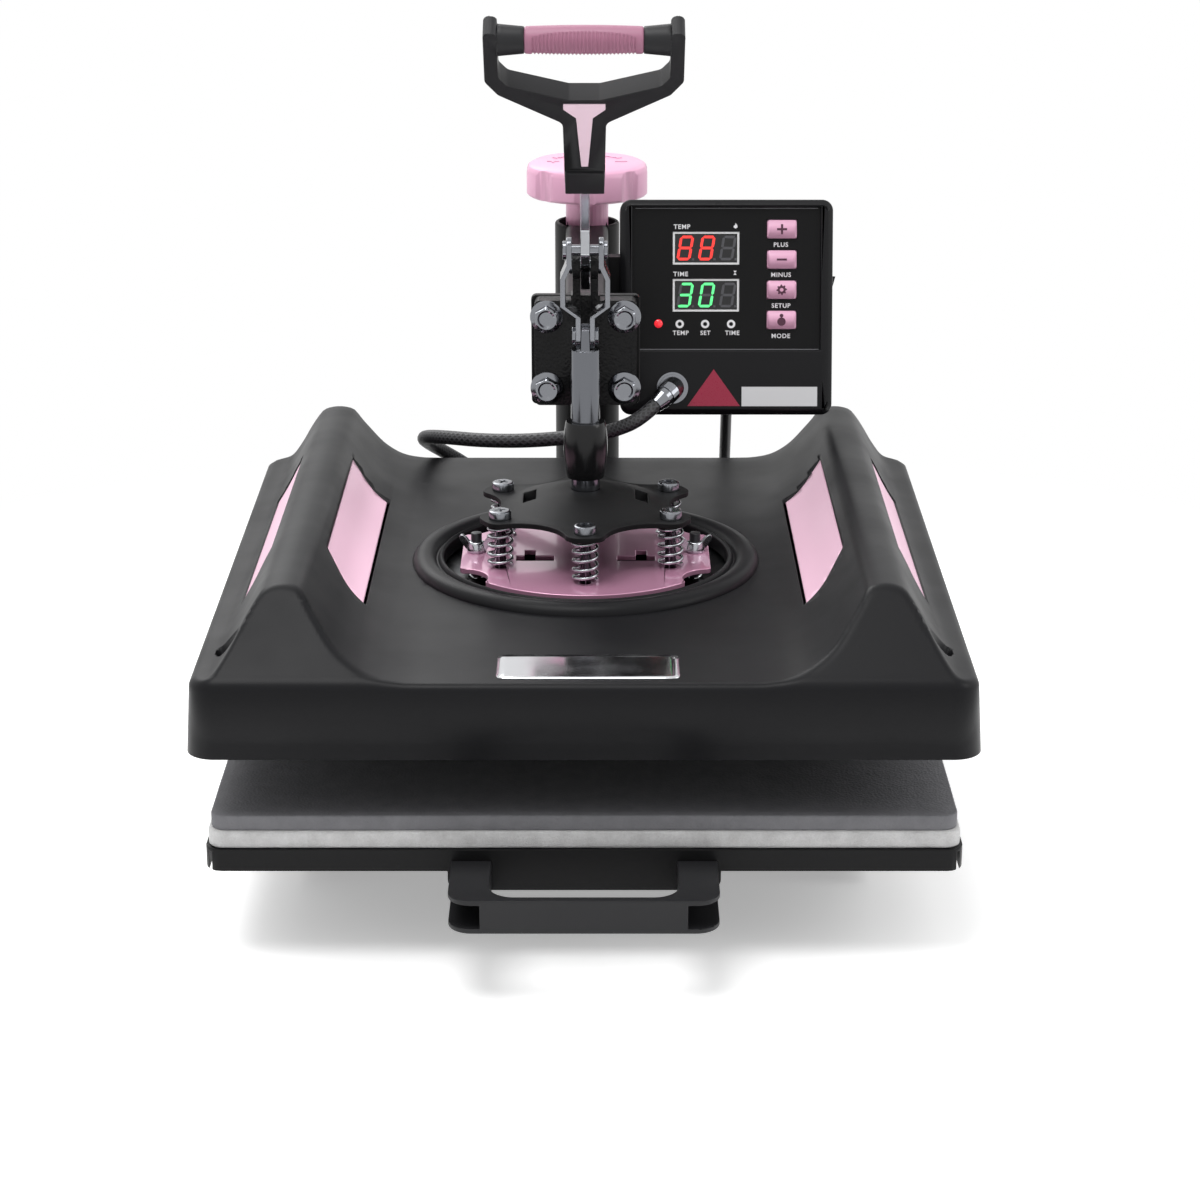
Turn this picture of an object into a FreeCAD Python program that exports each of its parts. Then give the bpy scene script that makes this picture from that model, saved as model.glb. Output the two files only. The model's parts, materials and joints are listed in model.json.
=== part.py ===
import FreeCAD, Part
import math
import os
import Sketcher
from FreeCAD import Placement, Rotation, Vector

# A swing-away combo heat press: a floor frame with a drawer, a post that carries a
# swinging arm, a toggle lever that drives a sprung heating head down onto the drawer's
# pad, a control box beside the arm, and its cables.
# X points right, Y back and Z up, in millimetres; the table is the plane Z = 0 and the
# origin is below the middle of the whole machine.

doc = FreeCAD.newDocument("combo_heat_press")
sheet = doc.addObject("Spreadsheet::Sheet", "sizes")
nodes = {}


class Size(float):
    """A number from the sheet, or worked out from it, that keeps its formula."""

    def __new__(cls, value, text):
        made = float.__new__(cls, value)
        made.text = text
        return made

    def __neg__(self):
        return Size(-float(self), f"(-{self.text})")

    def __add__(self, other):
        return Size(float(self) + float(other), f"({self.text} + {formula(other)})")

    def __radd__(self, other):
        return Size(float(other) + float(self), f"({formula(other)} + {self.text})")

    def __sub__(self, other):
        return Size(float(self) - float(other), f"({self.text} - {formula(other)})")

    def __rsub__(self, other):
        return Size(float(other) - float(self), f"({formula(other)} - {self.text})")

    def __mul__(self, other):
        return Size(float(self) * float(other), f"({self.text} * {formula(other)})")

    def __rmul__(self, other):
        return Size(float(other) * float(self), f"({formula(other)} * {self.text})")

    def __truediv__(self, other):
        return Size(float(self) / float(other), f"({self.text} / {formula(other)})")


def formula(value):
    """The expression for a value: its sheet formula, or the plain number."""
    if isinstance(value, Size):
        return value.text
    return f"({float(value):.6f})"


def size(alias, value):
    """Writes one driving dimension into the next row of the sheet."""
    row = len(size.rows) + 1
    size.rows.append(alias)
    sheet.set(f"A{row}", alias)
    sheet.set(f"B{row}", str(value))
    sheet.setAlias(f"B{row}", alias)
    return Size(value, f"sizes.{alias}")


size.rows = []

ALONG_X = Rotation(Vector(0, 1, 0), 90)
ALONG_Y = Rotation(Vector(1, 0, 0), -90)


def bind(item, path, value):
    item.setExpression(path, formula(value))


def place(item, at, turn=Rotation()):
    """Puts an object at a point, each coordinate bound to the sheet."""
    item.Placement = Placement(Vector(*at), turn)
    for axis, value in zip("xyz", at):
        bind(item, f"Placement.Base.{axis}", value)
    return item


def box(name, corner, spans):
    made = doc.addObject("Part::Box", name)
    for path, value in zip(("Length", "Width", "Height"), spans):
        bind(made, path, value)
    return place(made, corner)


def rod(name, foot, radius, length, turn=Rotation()):
    made = doc.addObject("Part::Cylinder", name)
    bind(made, "Radius", radius)
    bind(made, "Height", length)
    return place(made, foot, turn)


def cone(name, foot, low_radius, high_radius, height, turn=Rotation()):
    made = doc.addObject("Part::Cone", name)
    bind(made, "Radius1", low_radius)
    bind(made, "Radius2", high_radius)
    bind(made, "Height", height)
    return place(made, foot, turn)


def fuse(name, *pieces):
    made = doc.addObject("Part::MultiFuse", name)
    made.Shapes = list(pieces)
    return made


def cut(name, base, *tools):
    made = doc.addObject("Part::Cut", name)
    made.Base = base
    made.Tool = tools[0] if len(tools) == 1 else fuse(f"{name}_tools", *tools)
    return made


def common(name, *pieces):
    made = doc.addObject("Part::MultiCommon", name)
    made.Shapes = list(pieces)
    return made


def group(name, *pieces):
    made = doc.addObject("Part::Compound", name)
    made.Links = list(pieces)
    return made


def mirrored(item, at_y=None):
    """The same piece on the other side of X = 0, or of a plane across Y."""
    made = doc.addObject("Part::Mirroring", f"{item.Name}_other_side")
    made.Source = item
    made.Normal = (1, 0, 0) if at_y is None else (0, 1, 0)
    if at_y is not None:
        made.Base = (0, float(at_y), 0)
        bind(made, "Base.y", at_y)
    return made


def ring(name, foot, outer, inner, length, turn=Rotation()):
    """A plain tube or washer."""
    wall = rod(f"{name}_outside", foot, outer, length, turn)
    return cut(name, wall, rod(f"{name}_bore", foot, inner, length, turn))


def body(name, at=(0.0, 0.0, 0.0), turn=Rotation()):
    return place(doc.addObject("PartDesign::Body", name), at, turn)


def sketch(owner, plane, offset=0.0):
    """An empty sketch on one of the body's own planes, moved along its normal."""
    made = owner.newObject("Sketcher::SketchObject", "sketch")
    datum = next(item for item in owner.Origin.OriginFeatures if item.Role == plane)
    made.AttachmentSupport = [(datum, "")]
    made.MapMode = "FlatFace"
    made.AttachmentOffset = Placement(Vector(0, 0, float(offset)), Rotation())
    bind(made, "AttachmentOffset.Base.z", offset)
    return made


def hold(rules, bound, line, end, point):
    """Dimensions one end of a line from the sketch's origin."""
    for kind, value, axis in (("DistanceX", point[0], -2), ("DistanceY", point[1], -1)):
        if abs(float(value)) < 1e-9:
            rules.append(Sketcher.Constraint("PointOnObject", line, end, axis))
            continue
        if isinstance(value, Size):
            bound.append((len(rules), value))
        rules.append(Sketcher.Constraint(kind, -1, 1, line, end, float(value)))


def settle(flat, rules, bound):
    """Adds the constraints and ties those that come from the sheet."""
    first = flat.ConstraintCount
    flat.addConstraint(rules)
    for offset, value in bound:
        flat.setExpression(f"Constraints[{first + offset}]", value.text)


def draw_polygon(flat, corners):
    first = flat.GeometryCount
    count = len(corners)
    ends = [Vector(float(point[0]), float(point[1]), 0) for point in corners]
    flat.addGeometry([Part.LineSegment(ends[i], ends[(i + 1) % count]) for i in range(count)])
    rules = []
    bound = []
    for i in range(count):
        rules.append(Sketcher.Constraint("Coincident", first + i, 2, first + (i + 1) % count, 1))
        hold(rules, bound, first + i, 1, corners[i])
    settle(flat, rules, bound)
    return flat


def draw_rectangle(flat, left, bottom, right, top):
    return draw_polygon(flat, [(left, bottom), (right, bottom), (right, top), (left, top)])


def draw_circle(flat, centre, radius):
    curve = Part.Circle(Vector(float(centre[0]), float(centre[1]), 0), Vector(0, 0, 1), float(radius))
    line = flat.addGeometry(curve)
    rules = []
    bound = []
    hold(rules, bound, line, 3, centre)
    if isinstance(radius, Size):
        bound.append((len(rules), radius))
    rules.append(Sketcher.Constraint("Radius", line, float(radius)))
    settle(flat, rules, bound)
    return flat


def pad(owner, flat, length, side="One side", backwards=False):
    made = owner.newObject("PartDesign::Pad", "pad")
    made.Profile = flat
    made.SideType = side
    made.Reversed = backwards
    bind(made, "Length", length)
    return made


def pocket(owner, flat, depth=None, side="One side", backwards=False):
    """Cuts to a depth, or right through the body when none is given."""
    doc.recompute([owner])
    before = owner.Shape.Volume
    made = owner.newObject("PartDesign::Pocket", "pocket")
    made.Profile = flat
    made.SideType = side
    made.Reversed = backwards
    if depth is None:
        made.Type = 1
    else:
        bind(made, "Length", depth)
    doc.recompute([owner])
    if owner.Shape.Volume > before - 1e-6:
        raise RuntimeError(f"a pocket in {owner.Label} cuts nothing")
    return made


def revolve(owner, corners, plane="XZ_Plane"):
    flat = draw_polygon(sketch(owner, plane), corners)
    made = owner.newObject("PartDesign::Revolution", "revolution")
    made.Profile = flat
    made.ReferenceAxis = (flat, ["V_Axis"])
    made.Angle = 360
    return made


def repeat_round(owner, feature, count):
    """Repeats a feature evenly about the body's upright axis."""
    made = owner.newObject("PartDesign::PolarPattern", "pattern")
    made.Originals = [feature]
    axis = next(item for item in owner.Origin.OriginFeatures if item.Role == "Z_Axis")
    made.Axis = (axis, [""])
    made.Angle = 360
    made.Occurrences = count
    owner.Tip = made
    return made


def runs_along(edge, axis):
    """True for a straight edge that lies along X, Y or Z."""
    if edge.Curve.TypeId != "Part::GeomLine":
        return False
    return abs(getattr(edge.tangentAt(edge.FirstParameter), axis)) > 0.999


def middle(edge):
    return edge.valueAt((edge.FirstParameter + edge.LastParameter) / 2)


def soften(owner, feature, radius, chosen, kind="Fillet"):
    """Rounds or chamfers the edges of a feature that the test picks."""
    doc.recompute([owner])
    names = [f"Edge{i}" for i, edge in enumerate(feature.Shape.Edges, 1) if chosen(edge)]
    made = owner.newObject(f"PartDesign::{kind}", kind.lower())
    made.Base = (feature, names)
    bind(made, "Radius" if kind == "Fillet" else "Size", radius)
    return made


def plain(name, shape):
    """A piece whose form is worked out here, as one shape."""
    made = doc.addObject("Part::Feature", name)
    made.Shape = shape
    return made


def node(name, item):
    """Names a finished sub-part; the name is also that of its file."""
    item.Label = name
    nodes[name] = item
    return item


# The machine is set out from the heated platen: the cover goes round it, and the column
# stands clear of the cover.
head_y = size("head_y", -20.0)
platen_side = size("platen_side", 380.0)
platen_edge_gap = size("platen_edge_gap", 7.0)
cover_wall = size("cover_wall", 3.0)
sleeve_radius = size("sleeve_radius", 20.0)
swing_gap = size("swing_gap", 20.0)

cover_side = platen_side + 2 * (platen_edge_gap + cover_wall)
cover_half = cover_side / 2
reach = cover_half + swing_gap + sleeve_radius
column_y = head_y + reach

# The floor frame. Two tubes run front to back, joined by two cross tubes, and a foot
# plate with three gussets carries the post.
foot_height = size("foot_height", 12.0)
rail_width = size("rail_width", 30.0)
rail_height = size("rail_height", 25.0)
rail_wall = size("rail_wall", 2.0)
rail_spread = size("rail_spread", 300.0)
rail_front = size("rail_front", -120.0)
rail_overhang = size("rail_overhang", 42.0)
foot_plate_depth = size("foot_plate_depth", 82.0)
foot_plate_thickness = size("foot_plate_thickness", 6.0)
cross_setback = size("cross_setback", 10.0)
post_radius = size("post_radius", 16.0)
post_bore = size("post_bore", 12.0)
post_top = size("post_top", 250.0)
gusset_height = size("gusset_height", 40.0)
gusset_thickness = size("gusset_thickness", 6.0)
gusset_toe = size("gusset_toe", 5.0)
front_gusset_length = size("front_gusset_length", 22.0)

rail_rear = column_y + rail_overhang
rail_top = foot_height + rail_height
rail_x = rail_spread / 2
foot_plate_top = rail_top + foot_plate_thickness
foot_plate_front = rail_rear - foot_plate_depth
foot_plate_half = rail_x + rail_width / 2


def square_tube(name, corner, spans, along):
    """A square tube; along is 0 for X and 1 for Y."""
    outside = box(f"{name}_outside", corner, spans)
    shift = [rail_wall] * 3
    shift[along] = 0.0
    inside_corner = [a + b for a, b in zip(corner, shift)]
    inside_spans = [a - 2 * b for a, b in zip(spans, shift)]
    return cut(name, outside, box(f"{name}_inside", inside_corner, inside_spans))


def gusset(name, length, turn):
    """A triangular web that leans on the post."""
    made = body(name, (0.0, column_y, foot_plate_top), turn)
    flat = sketch(made, "XZ_Plane")
    start = post_radius - post_radius / 8
    reach_out = post_radius + length
    corners = [(start, 0.0), (reach_out, 0.0), (reach_out, gusset_toe)]
    draw_polygon(flat, corners + [(post_radius + gusset_toe, gusset_height), (start, gusset_height)])
    pad(made, flat, gusset_thickness, side="Symmetric")
    return made


rail_length = rail_rear - rail_front
left_rail = square_tube(
    "left_rail",
    (-rail_x - rail_width / 2, rail_front, foot_height),
    (rail_width, rail_length, rail_height),
    1,
)
cross_length = rail_spread - rail_width
cross_tubes = [
    square_tube(
        f"{name}_cross_tube",
        (-cross_length / 2, start, foot_height),
        (cross_length, rail_width, rail_height),
        0,
    )
    for name, start in (("front", rail_front + cross_setback), ("rear", rail_rear - rail_width))
]
foot_plate = box(
    "foot_plate",
    (-foot_plate_half, foot_plate_front, rail_top),
    (foot_plate_half * 2, foot_plate_depth, foot_plate_thickness),
)
gussets = [
    gusset("right_gusset", gusset_height, Rotation()),
    gusset("left_gusset", gusset_height, Rotation(Vector(0, 0, 1), 180)),
    gusset("front_gusset", front_gusset_length, Rotation(Vector(0, 0, 1), -90)),
]
post_height = post_top - foot_plate_top
weldment = fuse("weldment", left_rail, mirrored(left_rail), *cross_tubes, foot_plate, *gussets)
post_space = rod("post_space", (0.0, column_y, foot_plate_top), post_radius, post_height)
node("base_frame", cut("frame_body", weldment, post_space))

# The post is a thick round tube; the swivel turns on it and its bore takes the screw.
node(
    "column_post",
    ring("post", (0.0, column_y, foot_plate_top), post_radius, post_bore, post_height),
)

# Four tapered rubber feet, each with a recess for its screw.
foot_top_radius = size("foot_top_radius", 14.0)
foot_bottom_radius = size("foot_bottom_radius", 11.0)
foot_recess = size("foot_recess", 4.5)
foot_front_inset = size("foot_front_inset", 35.0)
foot_rear_inset = size("foot_rear_inset", 17.0)


def rubber_foot(name, x, y):
    block = cone(f"{name}_cone", (x, y, 0.0), foot_bottom_radius, foot_top_radius, foot_height)
    return cut(name, block, rod(f"{name}_recess", (x, y, 0.0), foot_recess, foot_height / 2))


foot_front_y = rail_front + foot_front_inset
foot_rear_y = rail_rear - foot_rear_inset
feet = [
    rubber_foot(f"foot_{i}", x, y)
    for i, (x, y) in enumerate(
        [(-rail_x, foot_front_y), (rail_x, foot_front_y), (-rail_x, foot_rear_y), (rail_x, foot_rear_y)]
    )
]
node("rubber_feet", group("feet", *feet))

# A C-section channel on each rail, open towards the middle, for the drawer's runners.
channel_height = size("channel_height", 22.0)
channel_depth = size("channel_depth", 12.0)
channel_wall = size("channel_wall", 1.5)
channel_overhang = size("channel_overhang", 2.0)
channel_setback = size("channel_setback", 10.0)
channel_end_gap = size("channel_end_gap", 5.0)
slide_gap = size("slide_gap", 0.3)

channel_back_x = rail_x + channel_overhang
channel_front = rail_front + channel_setback
channel_length = foot_plate_front - channel_end_gap - channel_front
channel_mouth_x = channel_back_x - channel_depth
channel = cut(
    "right_channel",
    box(
        "channel_block",
        (channel_mouth_x, channel_front, rail_top),
        (channel_depth, channel_length, channel_height),
    ),
    box(
        "channel_slot",
        (channel_mouth_x, channel_front, rail_top + channel_wall),
        (channel_depth - channel_wall, channel_length, channel_height - 2 * channel_wall),
    ),
)
node("drawer_channels", group("channels", channel, mirrored(channel)))

# The runners are bent strips: a bar in each channel, an upstand beside the channel's
# mouth and a flange under the tray.
runner_reach = size("runner_reach", 3.0)
flange_width = size("flange_width", 17.0)
flange_thickness = size("flange_thickness", 2.0)
tray_clearance = size("tray_clearance", 1.5)
runner_inset = size("runner_inset", 5.0)

channel_top = rail_top + channel_height
tray_bottom = channel_top + tray_clearance
runner_low = rail_top + channel_wall + slide_gap
runner_high = channel_top - channel_wall - slide_gap
runner_outer_x = channel_back_x - channel_wall - slide_gap
upstand_x = channel_mouth_x - 2 * runner_reach
runner_start = channel_front + runner_inset
runner_length = channel_length - 2 * runner_inset
runner = fuse(
    "right_runner",
    box(
        "runner_bar",
        (upstand_x, runner_start, runner_low),
        (runner_outer_x - upstand_x, runner_length, runner_high - runner_low),
    ),
    box(
        "runner_upstand",
        (upstand_x, runner_start, runner_low),
        (runner_reach, runner_length, tray_bottom - runner_low),
    ),
    box(
        "runner_flange",
        (upstand_x + runner_reach - flange_width, runner_start, tray_bottom - flange_thickness),
        (flange_width, runner_length, flange_thickness),
    ),
)
node("drawer_runners", group("runners", runner, mirrored(runner)))

# The drawer tray is pressed sheet: a flat top, a skirt at the front and the sides, open
# at the back so that it clears the channels, and a tab that the handle is screwed to.
tray_margin = size("tray_margin", 3.0)
tray_sheet = size("tray_sheet", 2.0)
tray_skirt = size("tray_skirt", 11.9)
tray_corner = size("tray_corner", 9.0)
tab_width = size("tab_width", 139.2)
tab_drop = size("tab_drop", 22.5)
tab_corner = size("tab_corner", 6.0)

tray_top = tray_bottom + tray_sheet
tray_side = platen_side + 2 * tray_margin
tray_half = tray_side / 2
tray = body("tray", (0.0, head_y, tray_top - tray_skirt))
tray_outline = draw_rectangle(sketch(tray, "XY_Plane"), -tray_half, -tray_half, tray_half, tray_half)
tray_block = pad(tray, tray_outline, tray_skirt)
soften(tray, tray_block, tray_corner, lambda edge: runs_along(edge, "z"))
inner_half = tray_half - tray_sheet
hollow = draw_rectangle(
    sketch(tray, "XY_Plane"), -inner_half, -inner_half, inner_half, tray_half + tray_sheet
)
tray_hollow = pocket(tray, hollow, tray_skirt - tray_sheet, backwards=True)
tab_sketch = sketch(tray, "XZ_Plane", tray_half - tray_sheet)
draw_rectangle(tab_sketch, -tab_width / 2, tray_skirt - tab_drop, tab_width / 2, tray_skirt - tray_sheet)
tray_tab = pad(tray, tab_sketch, tray_sheet)
soften(
    tray,
    tray_tab,
    tab_corner,
    lambda edge: runs_along(edge, "y") and middle(edge).z < float(tray_skirt - tab_drop) + 0.01,
)
node("drawer_tray", tray)

# A felt layer and a silicone pad lie on the tray.
felt_inset = size("felt_inset", 1.5)
felt_thickness = size("felt_thickness", 9.3)
pad_thickness = size("pad_thickness", 8.2)
pad_corner = size("pad_corner", 8.0)


def mat(name, side, thickness, low, corner):
    """A square layer with rounded corners, centred below the head."""
    made = body(name, (0.0, head_y, low))
    outline = draw_rectangle(sketch(made, "XY_Plane"), -side / 2, -side / 2, side / 2, side / 2)
    block = pad(made, outline, thickness)
    soften(made, block, corner, lambda edge: runs_along(edge, "z"))
    return node(name, made)


felt_side = tray_side - 2 * felt_inset
felt_top = tray_top + felt_thickness
pad_top = felt_top + pad_thickness
mat("felt_layer", felt_side, felt_thickness, tray_top, pad_corner)
mat("silicone_pad", platen_side, pad_thickness, felt_top, pad_corner)

# The drawer handle is moulded: a U in plan, a C in section, open outwards at its corners.
handle_width = size("handle_width", 135.2)
handle_arm = size("handle_arm", 20.3)
handle_depth = size("handle_depth", 49.0)
handle_bar = size("handle_bar", 5.5)
handle_height = size("handle_height", 17.6)
handle_web = size("handle_web", 4.2)
handle_flange = size("handle_flange", 2.5)
handle_outer_round = size("handle_outer_round", 12.0)
handle_inner_round = size("handle_inner_round", 13.0)
handle_drop = size("handle_drop", 6.0)

handle_half = handle_width / 2
handle_hole = handle_half - handle_arm
handle_low = tray_top - handle_drop - handle_height
tray_front = head_y - tray_half
handle = body("handle", (0.0, tray_front, handle_low))
plan = sketch(handle, "XY_Plane")
draw_polygon(
    plan,
    [
        (-handle_half, 0.0),
        (-handle_half, -handle_depth),
        (handle_half, -handle_depth),
        (handle_half, 0.0),
        (handle_hole, 0.0),
        (handle_hole, handle_bar - handle_depth),
        (-handle_hole, handle_bar - handle_depth),
        (-handle_hole, 0.0),
    ],
)
handle_block = pad(handle, plan, handle_height)
outer_corners = soften(
    handle,
    handle_block,
    handle_outer_round,
    lambda edge: runs_along(edge, "z") and middle(edge).y < -float(handle_depth) + 0.1,
)
soften(
    handle,
    outer_corners,
    handle_inner_round,
    lambda edge: runs_along(edge, "z")
    and abs(middle(edge).y - float(handle_bar - handle_depth)) < 0.1
    and abs(abs(middle(edge).x) - float(handle_hole)) < 0.1,
)
for side in (1.0, -1.0):
    recess = sketch(handle, "XZ_Plane")
    draw_rectangle(
        recess,
        side * (handle_hole + handle_web),
        handle_flange,
        side * (handle_half + handle_flange),
        handle_height - handle_flange,
    )
    recess.AttachmentOffset = Placement(Vector(0, 0, float(handle_flange)), Rotation())
    bind(recess, "AttachmentOffset.Base.z", handle_flange)
    pocket(handle, recess, handle_depth, backwards=True)
node("drawer_handle", handle)

# The swivel liner turns on the post. Its cap rests on the post's end and is threaded for
# the pressure screw.
running_fit = size("running_fit", 0.06)
liner_wall = size("liner_wall", 1.44)
liner_bottom = size("liner_bottom", 120.0)
cap_height = size("cap_height", 12.0)
screw_radius = size("screw_radius", 6.0)

liner_inner = post_radius + running_fit
liner_outer = liner_inner + liner_wall
cap_top = post_top + cap_height
liner = body("liner", (0.0, column_y, 0.0))
revolve(
    liner,
    [
        (liner_inner, liner_bottom),
        (liner_outer, liner_bottom),
        (liner_outer, cap_top),
        (screw_radius + running_fit, cap_top),
        (screw_radius + running_fit, post_top),
        (liner_inner, post_top),
    ],
)
node("swivel_liner", liner)

# The column sleeve slides on the liner by a few millimetres, to set the height, and
# turns with it. The thrust plug in its top carries the knob.
sleeve_bottom = size("sleeve_bottom", 110.0)
beam_top = size("beam_top", 298.0)
sleeve_rim = size("sleeve_rim", 1.0)
plug_top = size("plug_top", 290.0)
plug_thickness = size("plug_thickness", 12.0)

sleeve_inner = liner_outer + running_fit
sleeve_top = beam_top - sleeve_rim
sleeve = body("sleeve", (0.0, column_y, 0.0))
sleeve_chamfer = sleeve_rim
revolve(
    sleeve,
    [
        (sleeve_inner, sleeve_bottom),
        (sleeve_radius - sleeve_chamfer, sleeve_bottom),
        (sleeve_radius, sleeve_bottom + sleeve_chamfer),
        (sleeve_radius, sleeve_top - sleeve_chamfer),
        (sleeve_radius - sleeve_chamfer, sleeve_top),
        (sleeve_inner, sleeve_top),
    ],
)
node("column_sleeve", sleeve)
node(
    "thrust_plug",
    ring(
        "plug",
        (0.0, column_y, plug_top - plug_thickness),
        sleeve_inner,
        screw_radius + running_fit,
        plug_thickness,
    ),
)

# The arm beam is a rounded rectangular tube, coped to the sleeve at its rear end.
beam_width = size("beam_width", 26.0)
beam_height = size("beam_height", 50.0)
beam_wall = size("beam_wall", 2.5)
beam_round = size("beam_round", 4.0)
end_plate_rear = size("end_plate_rear", 37.0)
end_plate_thickness = size("end_plate_thickness", 5.0)
end_plate_width = size("end_plate_width", 60.5)
end_plate_height = size("end_plate_height", 62.5)
end_plate_round = size("end_plate_round", 3.0)

beam_half = beam_width / 2
beam_bottom = beam_top - beam_height
beam_start = head_y + end_plate_rear
beam = body("beam", (0.0, beam_start, 0.0))
beam_length = column_y - beam_start
beam_block = pad(
    beam,
    draw_rectangle(sketch(beam, "XZ_Plane"), -beam_half, beam_bottom, beam_half, beam_top),
    beam_length,
    backwards=True,
)
soften(beam, beam_block, beam_round, lambda edge: runs_along(edge, "y"))
beam_inside = draw_rectangle(
    sketch(beam, "XZ_Plane"),
    beam_wall - beam_half,
    beam_bottom + beam_wall,
    beam_half - beam_wall,
    beam_top - beam_wall,
)
pocket(beam, beam_inside, backwards=False, side="Symmetric")
cope = draw_circle(sketch(beam, "XY_Plane", beam_top), (0.0, beam_length), sleeve_radius)
pocket(beam, cope, side="Symmetric")
node("arm_beam", beam)

# The arm end plate is welded to the beam and bolted to the toggle base.
casting_plate = size("casting_plate", 12.0)
casting_width = size("casting_width", 56.3)
casting_height = size("casting_height", 59.5)
casting_drop = size("casting_drop", 0.5)
bolt_radius = size("bolt_radius", 4.0)
bolt_spread = size("bolt_spread", 43.0)
bolt_rise = size("bolt_rise", 40.4)
bolt_middle = size("bolt_middle", 268.3)

plate_front = beam_start - end_plate_thickness
casting_front = plate_front - casting_plate
bolt_places = [
    (side * bolt_spread / 2, bolt_middle + rise * bolt_rise / 2)
    for side in (-1.0, 1.0)
    for rise in (-1.0, 1.0)
]
end_plate = body("end_plate", (0.0, beam_start, 0.0))
plate_block = pad(
    end_plate,
    draw_rectangle(
        sketch(end_plate, "XZ_Plane"),
        -end_plate_width / 2,
        beam_top - end_plate_height,
        end_plate_width / 2,
        beam_top,
    ),
    end_plate_thickness,
)
soften(end_plate, plate_block, end_plate_round, lambda edge: runs_along(edge, "y"))
plate_holes = sketch(end_plate, "XZ_Plane")
for spot in bolt_places:
    draw_circle(plate_holes, spot, bolt_radius)
pocket(end_plate, plate_holes, side="Symmetric")
node("arm_end_plate", end_plate)

# The toggle. Seen from the side the lever turns on a pin through the casting's ears, its
# lobe pushes a pair of bent links, and the links push the plunger rod down its barrel.
rod_radius = size("rod_radius", 8.0)
barrel_bottom = size("barrel_bottom", 203.0)
barrel_height = size("barrel_height", 31.5)
barrel_top_radius = size("barrel_top_radius", 10.75)
barrel_mid_radius = size("barrel_mid_radius", 12.0)
barrel_low_radius = size("barrel_low_radius", 10.25)
pivot_back = size("pivot_back", 15.0)
pivot_rise = size("pivot_rise", 21.0)
crank_radius = size("crank_radius", 23.2)
crank_rest = size("crank_rest", 58.5)
lever_travel = size("lever_travel", 110.0)
lever_rest = size("lever_rest", 35.0)
link_length = size("link_length", 48.7)
pivot_pin_radius = size("pivot_pin_radius", 4.0)
link_pin_radius = size("link_pin_radius", 3.0)
ear_inner = size("ear_inner", 2.8)
ear_outer = size("ear_outer", 7.0)
ear_round = size("ear_round", 8.0)
ear_back = size("ear_back", 18.2)
ear_depth = size("ear_depth", 9.0)

pivot_y = head_y + pivot_back
pivot_z = beam_top + pivot_rise


def crank_end(turned):
    """Where the lever's lobe pin is, from the plunger axis, for a lever turned so far."""
    angle = math.radians(crank_rest + turned)
    return pivot_back - crank_radius * math.sin(angle), pivot_z + crank_radius * math.cos(angle)


def plunger_pin(turned):
    """The height of the plunger's pin for a lever turned so far."""
    back, high = crank_end(turned)
    return high - math.sqrt(link_length**2 - back**2)


pin_z = plunger_pin(0.0)
stroke = pin_z - plunger_pin(lever_travel)
print(f"plunger stroke {stroke:.3f} mm, pin at {pin_z:.3f}")

barrel = body("barrel", (0.0, head_y, barrel_bottom))
revolve(
    barrel,
    [
        (0.0, 0.0),
        (barrel_low_radius - 2.0, 0.0),
        (barrel_low_radius, 2.0),
        (barrel_mid_radius, barrel_height * 0.5),
        (barrel_top_radius, barrel_height),
        (0.0, barrel_height),
    ],
)
casting_bottom = beam_top - casting_drop - casting_height
casting_block = body("casting_block", (0.0, plate_front, casting_bottom))
casting_pad = pad(
    casting_block,
    draw_rectangle(
        sketch(casting_block, "XZ_Plane"), -casting_width / 2, 0.0, casting_width / 2, casting_height
    ),
    casting_plate,
)
soften(casting_block, casting_pad, end_plate_round, lambda edge: runs_along(edge, "y"))

web_half = size("web_half", 6.5)
web_back = size("web_back", 11.0)
block_rise = size("block_rise", 2.5)
block_half = size("block_half", 8.0)
casting_from_head = casting_front - head_y
web = body("web", (-web_half, head_y, 0.0))
web_sketch = draw_polygon(
    sketch(web, "YZ_Plane"),
    [
        (rod_radius, barrel_bottom + 3.0),
        (barrel_mid_radius + 1.0, barrel_bottom + 3.0),
        (casting_from_head + 2.0, casting_bottom),
        (casting_from_head + 2.0, casting_bottom + casting_height * 0.8),
        (casting_from_head, casting_bottom + casting_height * 0.8),
        (web_back, casting_bottom + casting_height * 0.45),
        (web_back, barrel_bottom + barrel_height),
        (rod_radius, barrel_bottom + barrel_height - 2.0),
    ],
)
pad(web, web_sketch, web_half * 2)
block_low = casting_bottom + casting_height * 0.88
block = box(
    "ear_block",
    (-block_half, casting_front, block_low),
    (block_half * 2, casting_plate, beam_top + block_rise - block_low),
)
ear_thickness = ear_outer - ear_inner
ear_lobe = rod("ear_lobe", (ear_inner, pivot_y, pivot_z), ear_round, ear_thickness, ALONG_X)
ear_root = box(
    "ear_root",
    (ear_inner, head_y + ear_back, block_low),
    (ear_thickness, ear_depth, pivot_z - block_low),
)
ear = fuse("ear", ear_lobe, ear_root)
casting_parts = fuse("casting_parts", barrel, casting_block, web, block, ear, mirrored(ear))
rod_space = rod(
    "rod_space", (0.0, head_y, barrel_bottom), rod_radius + running_fit, barrel_height + 4.0
)
pivot_space = rod(
    "pivot_space", (-ear_outer, pivot_y, pivot_z), pivot_pin_radius, ear_outer * 2, ALONG_X
)
bolt_spaces = [
    rod(f"bolt_space_{i}", (x, casting_front, z), bolt_radius, casting_plate, ALONG_Y)
    for i, (x, z) in enumerate(bolt_places)
]
node("toggle_base", cut("casting", casting_parts, rod_space, pivot_space, *bolt_spaces))

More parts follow.
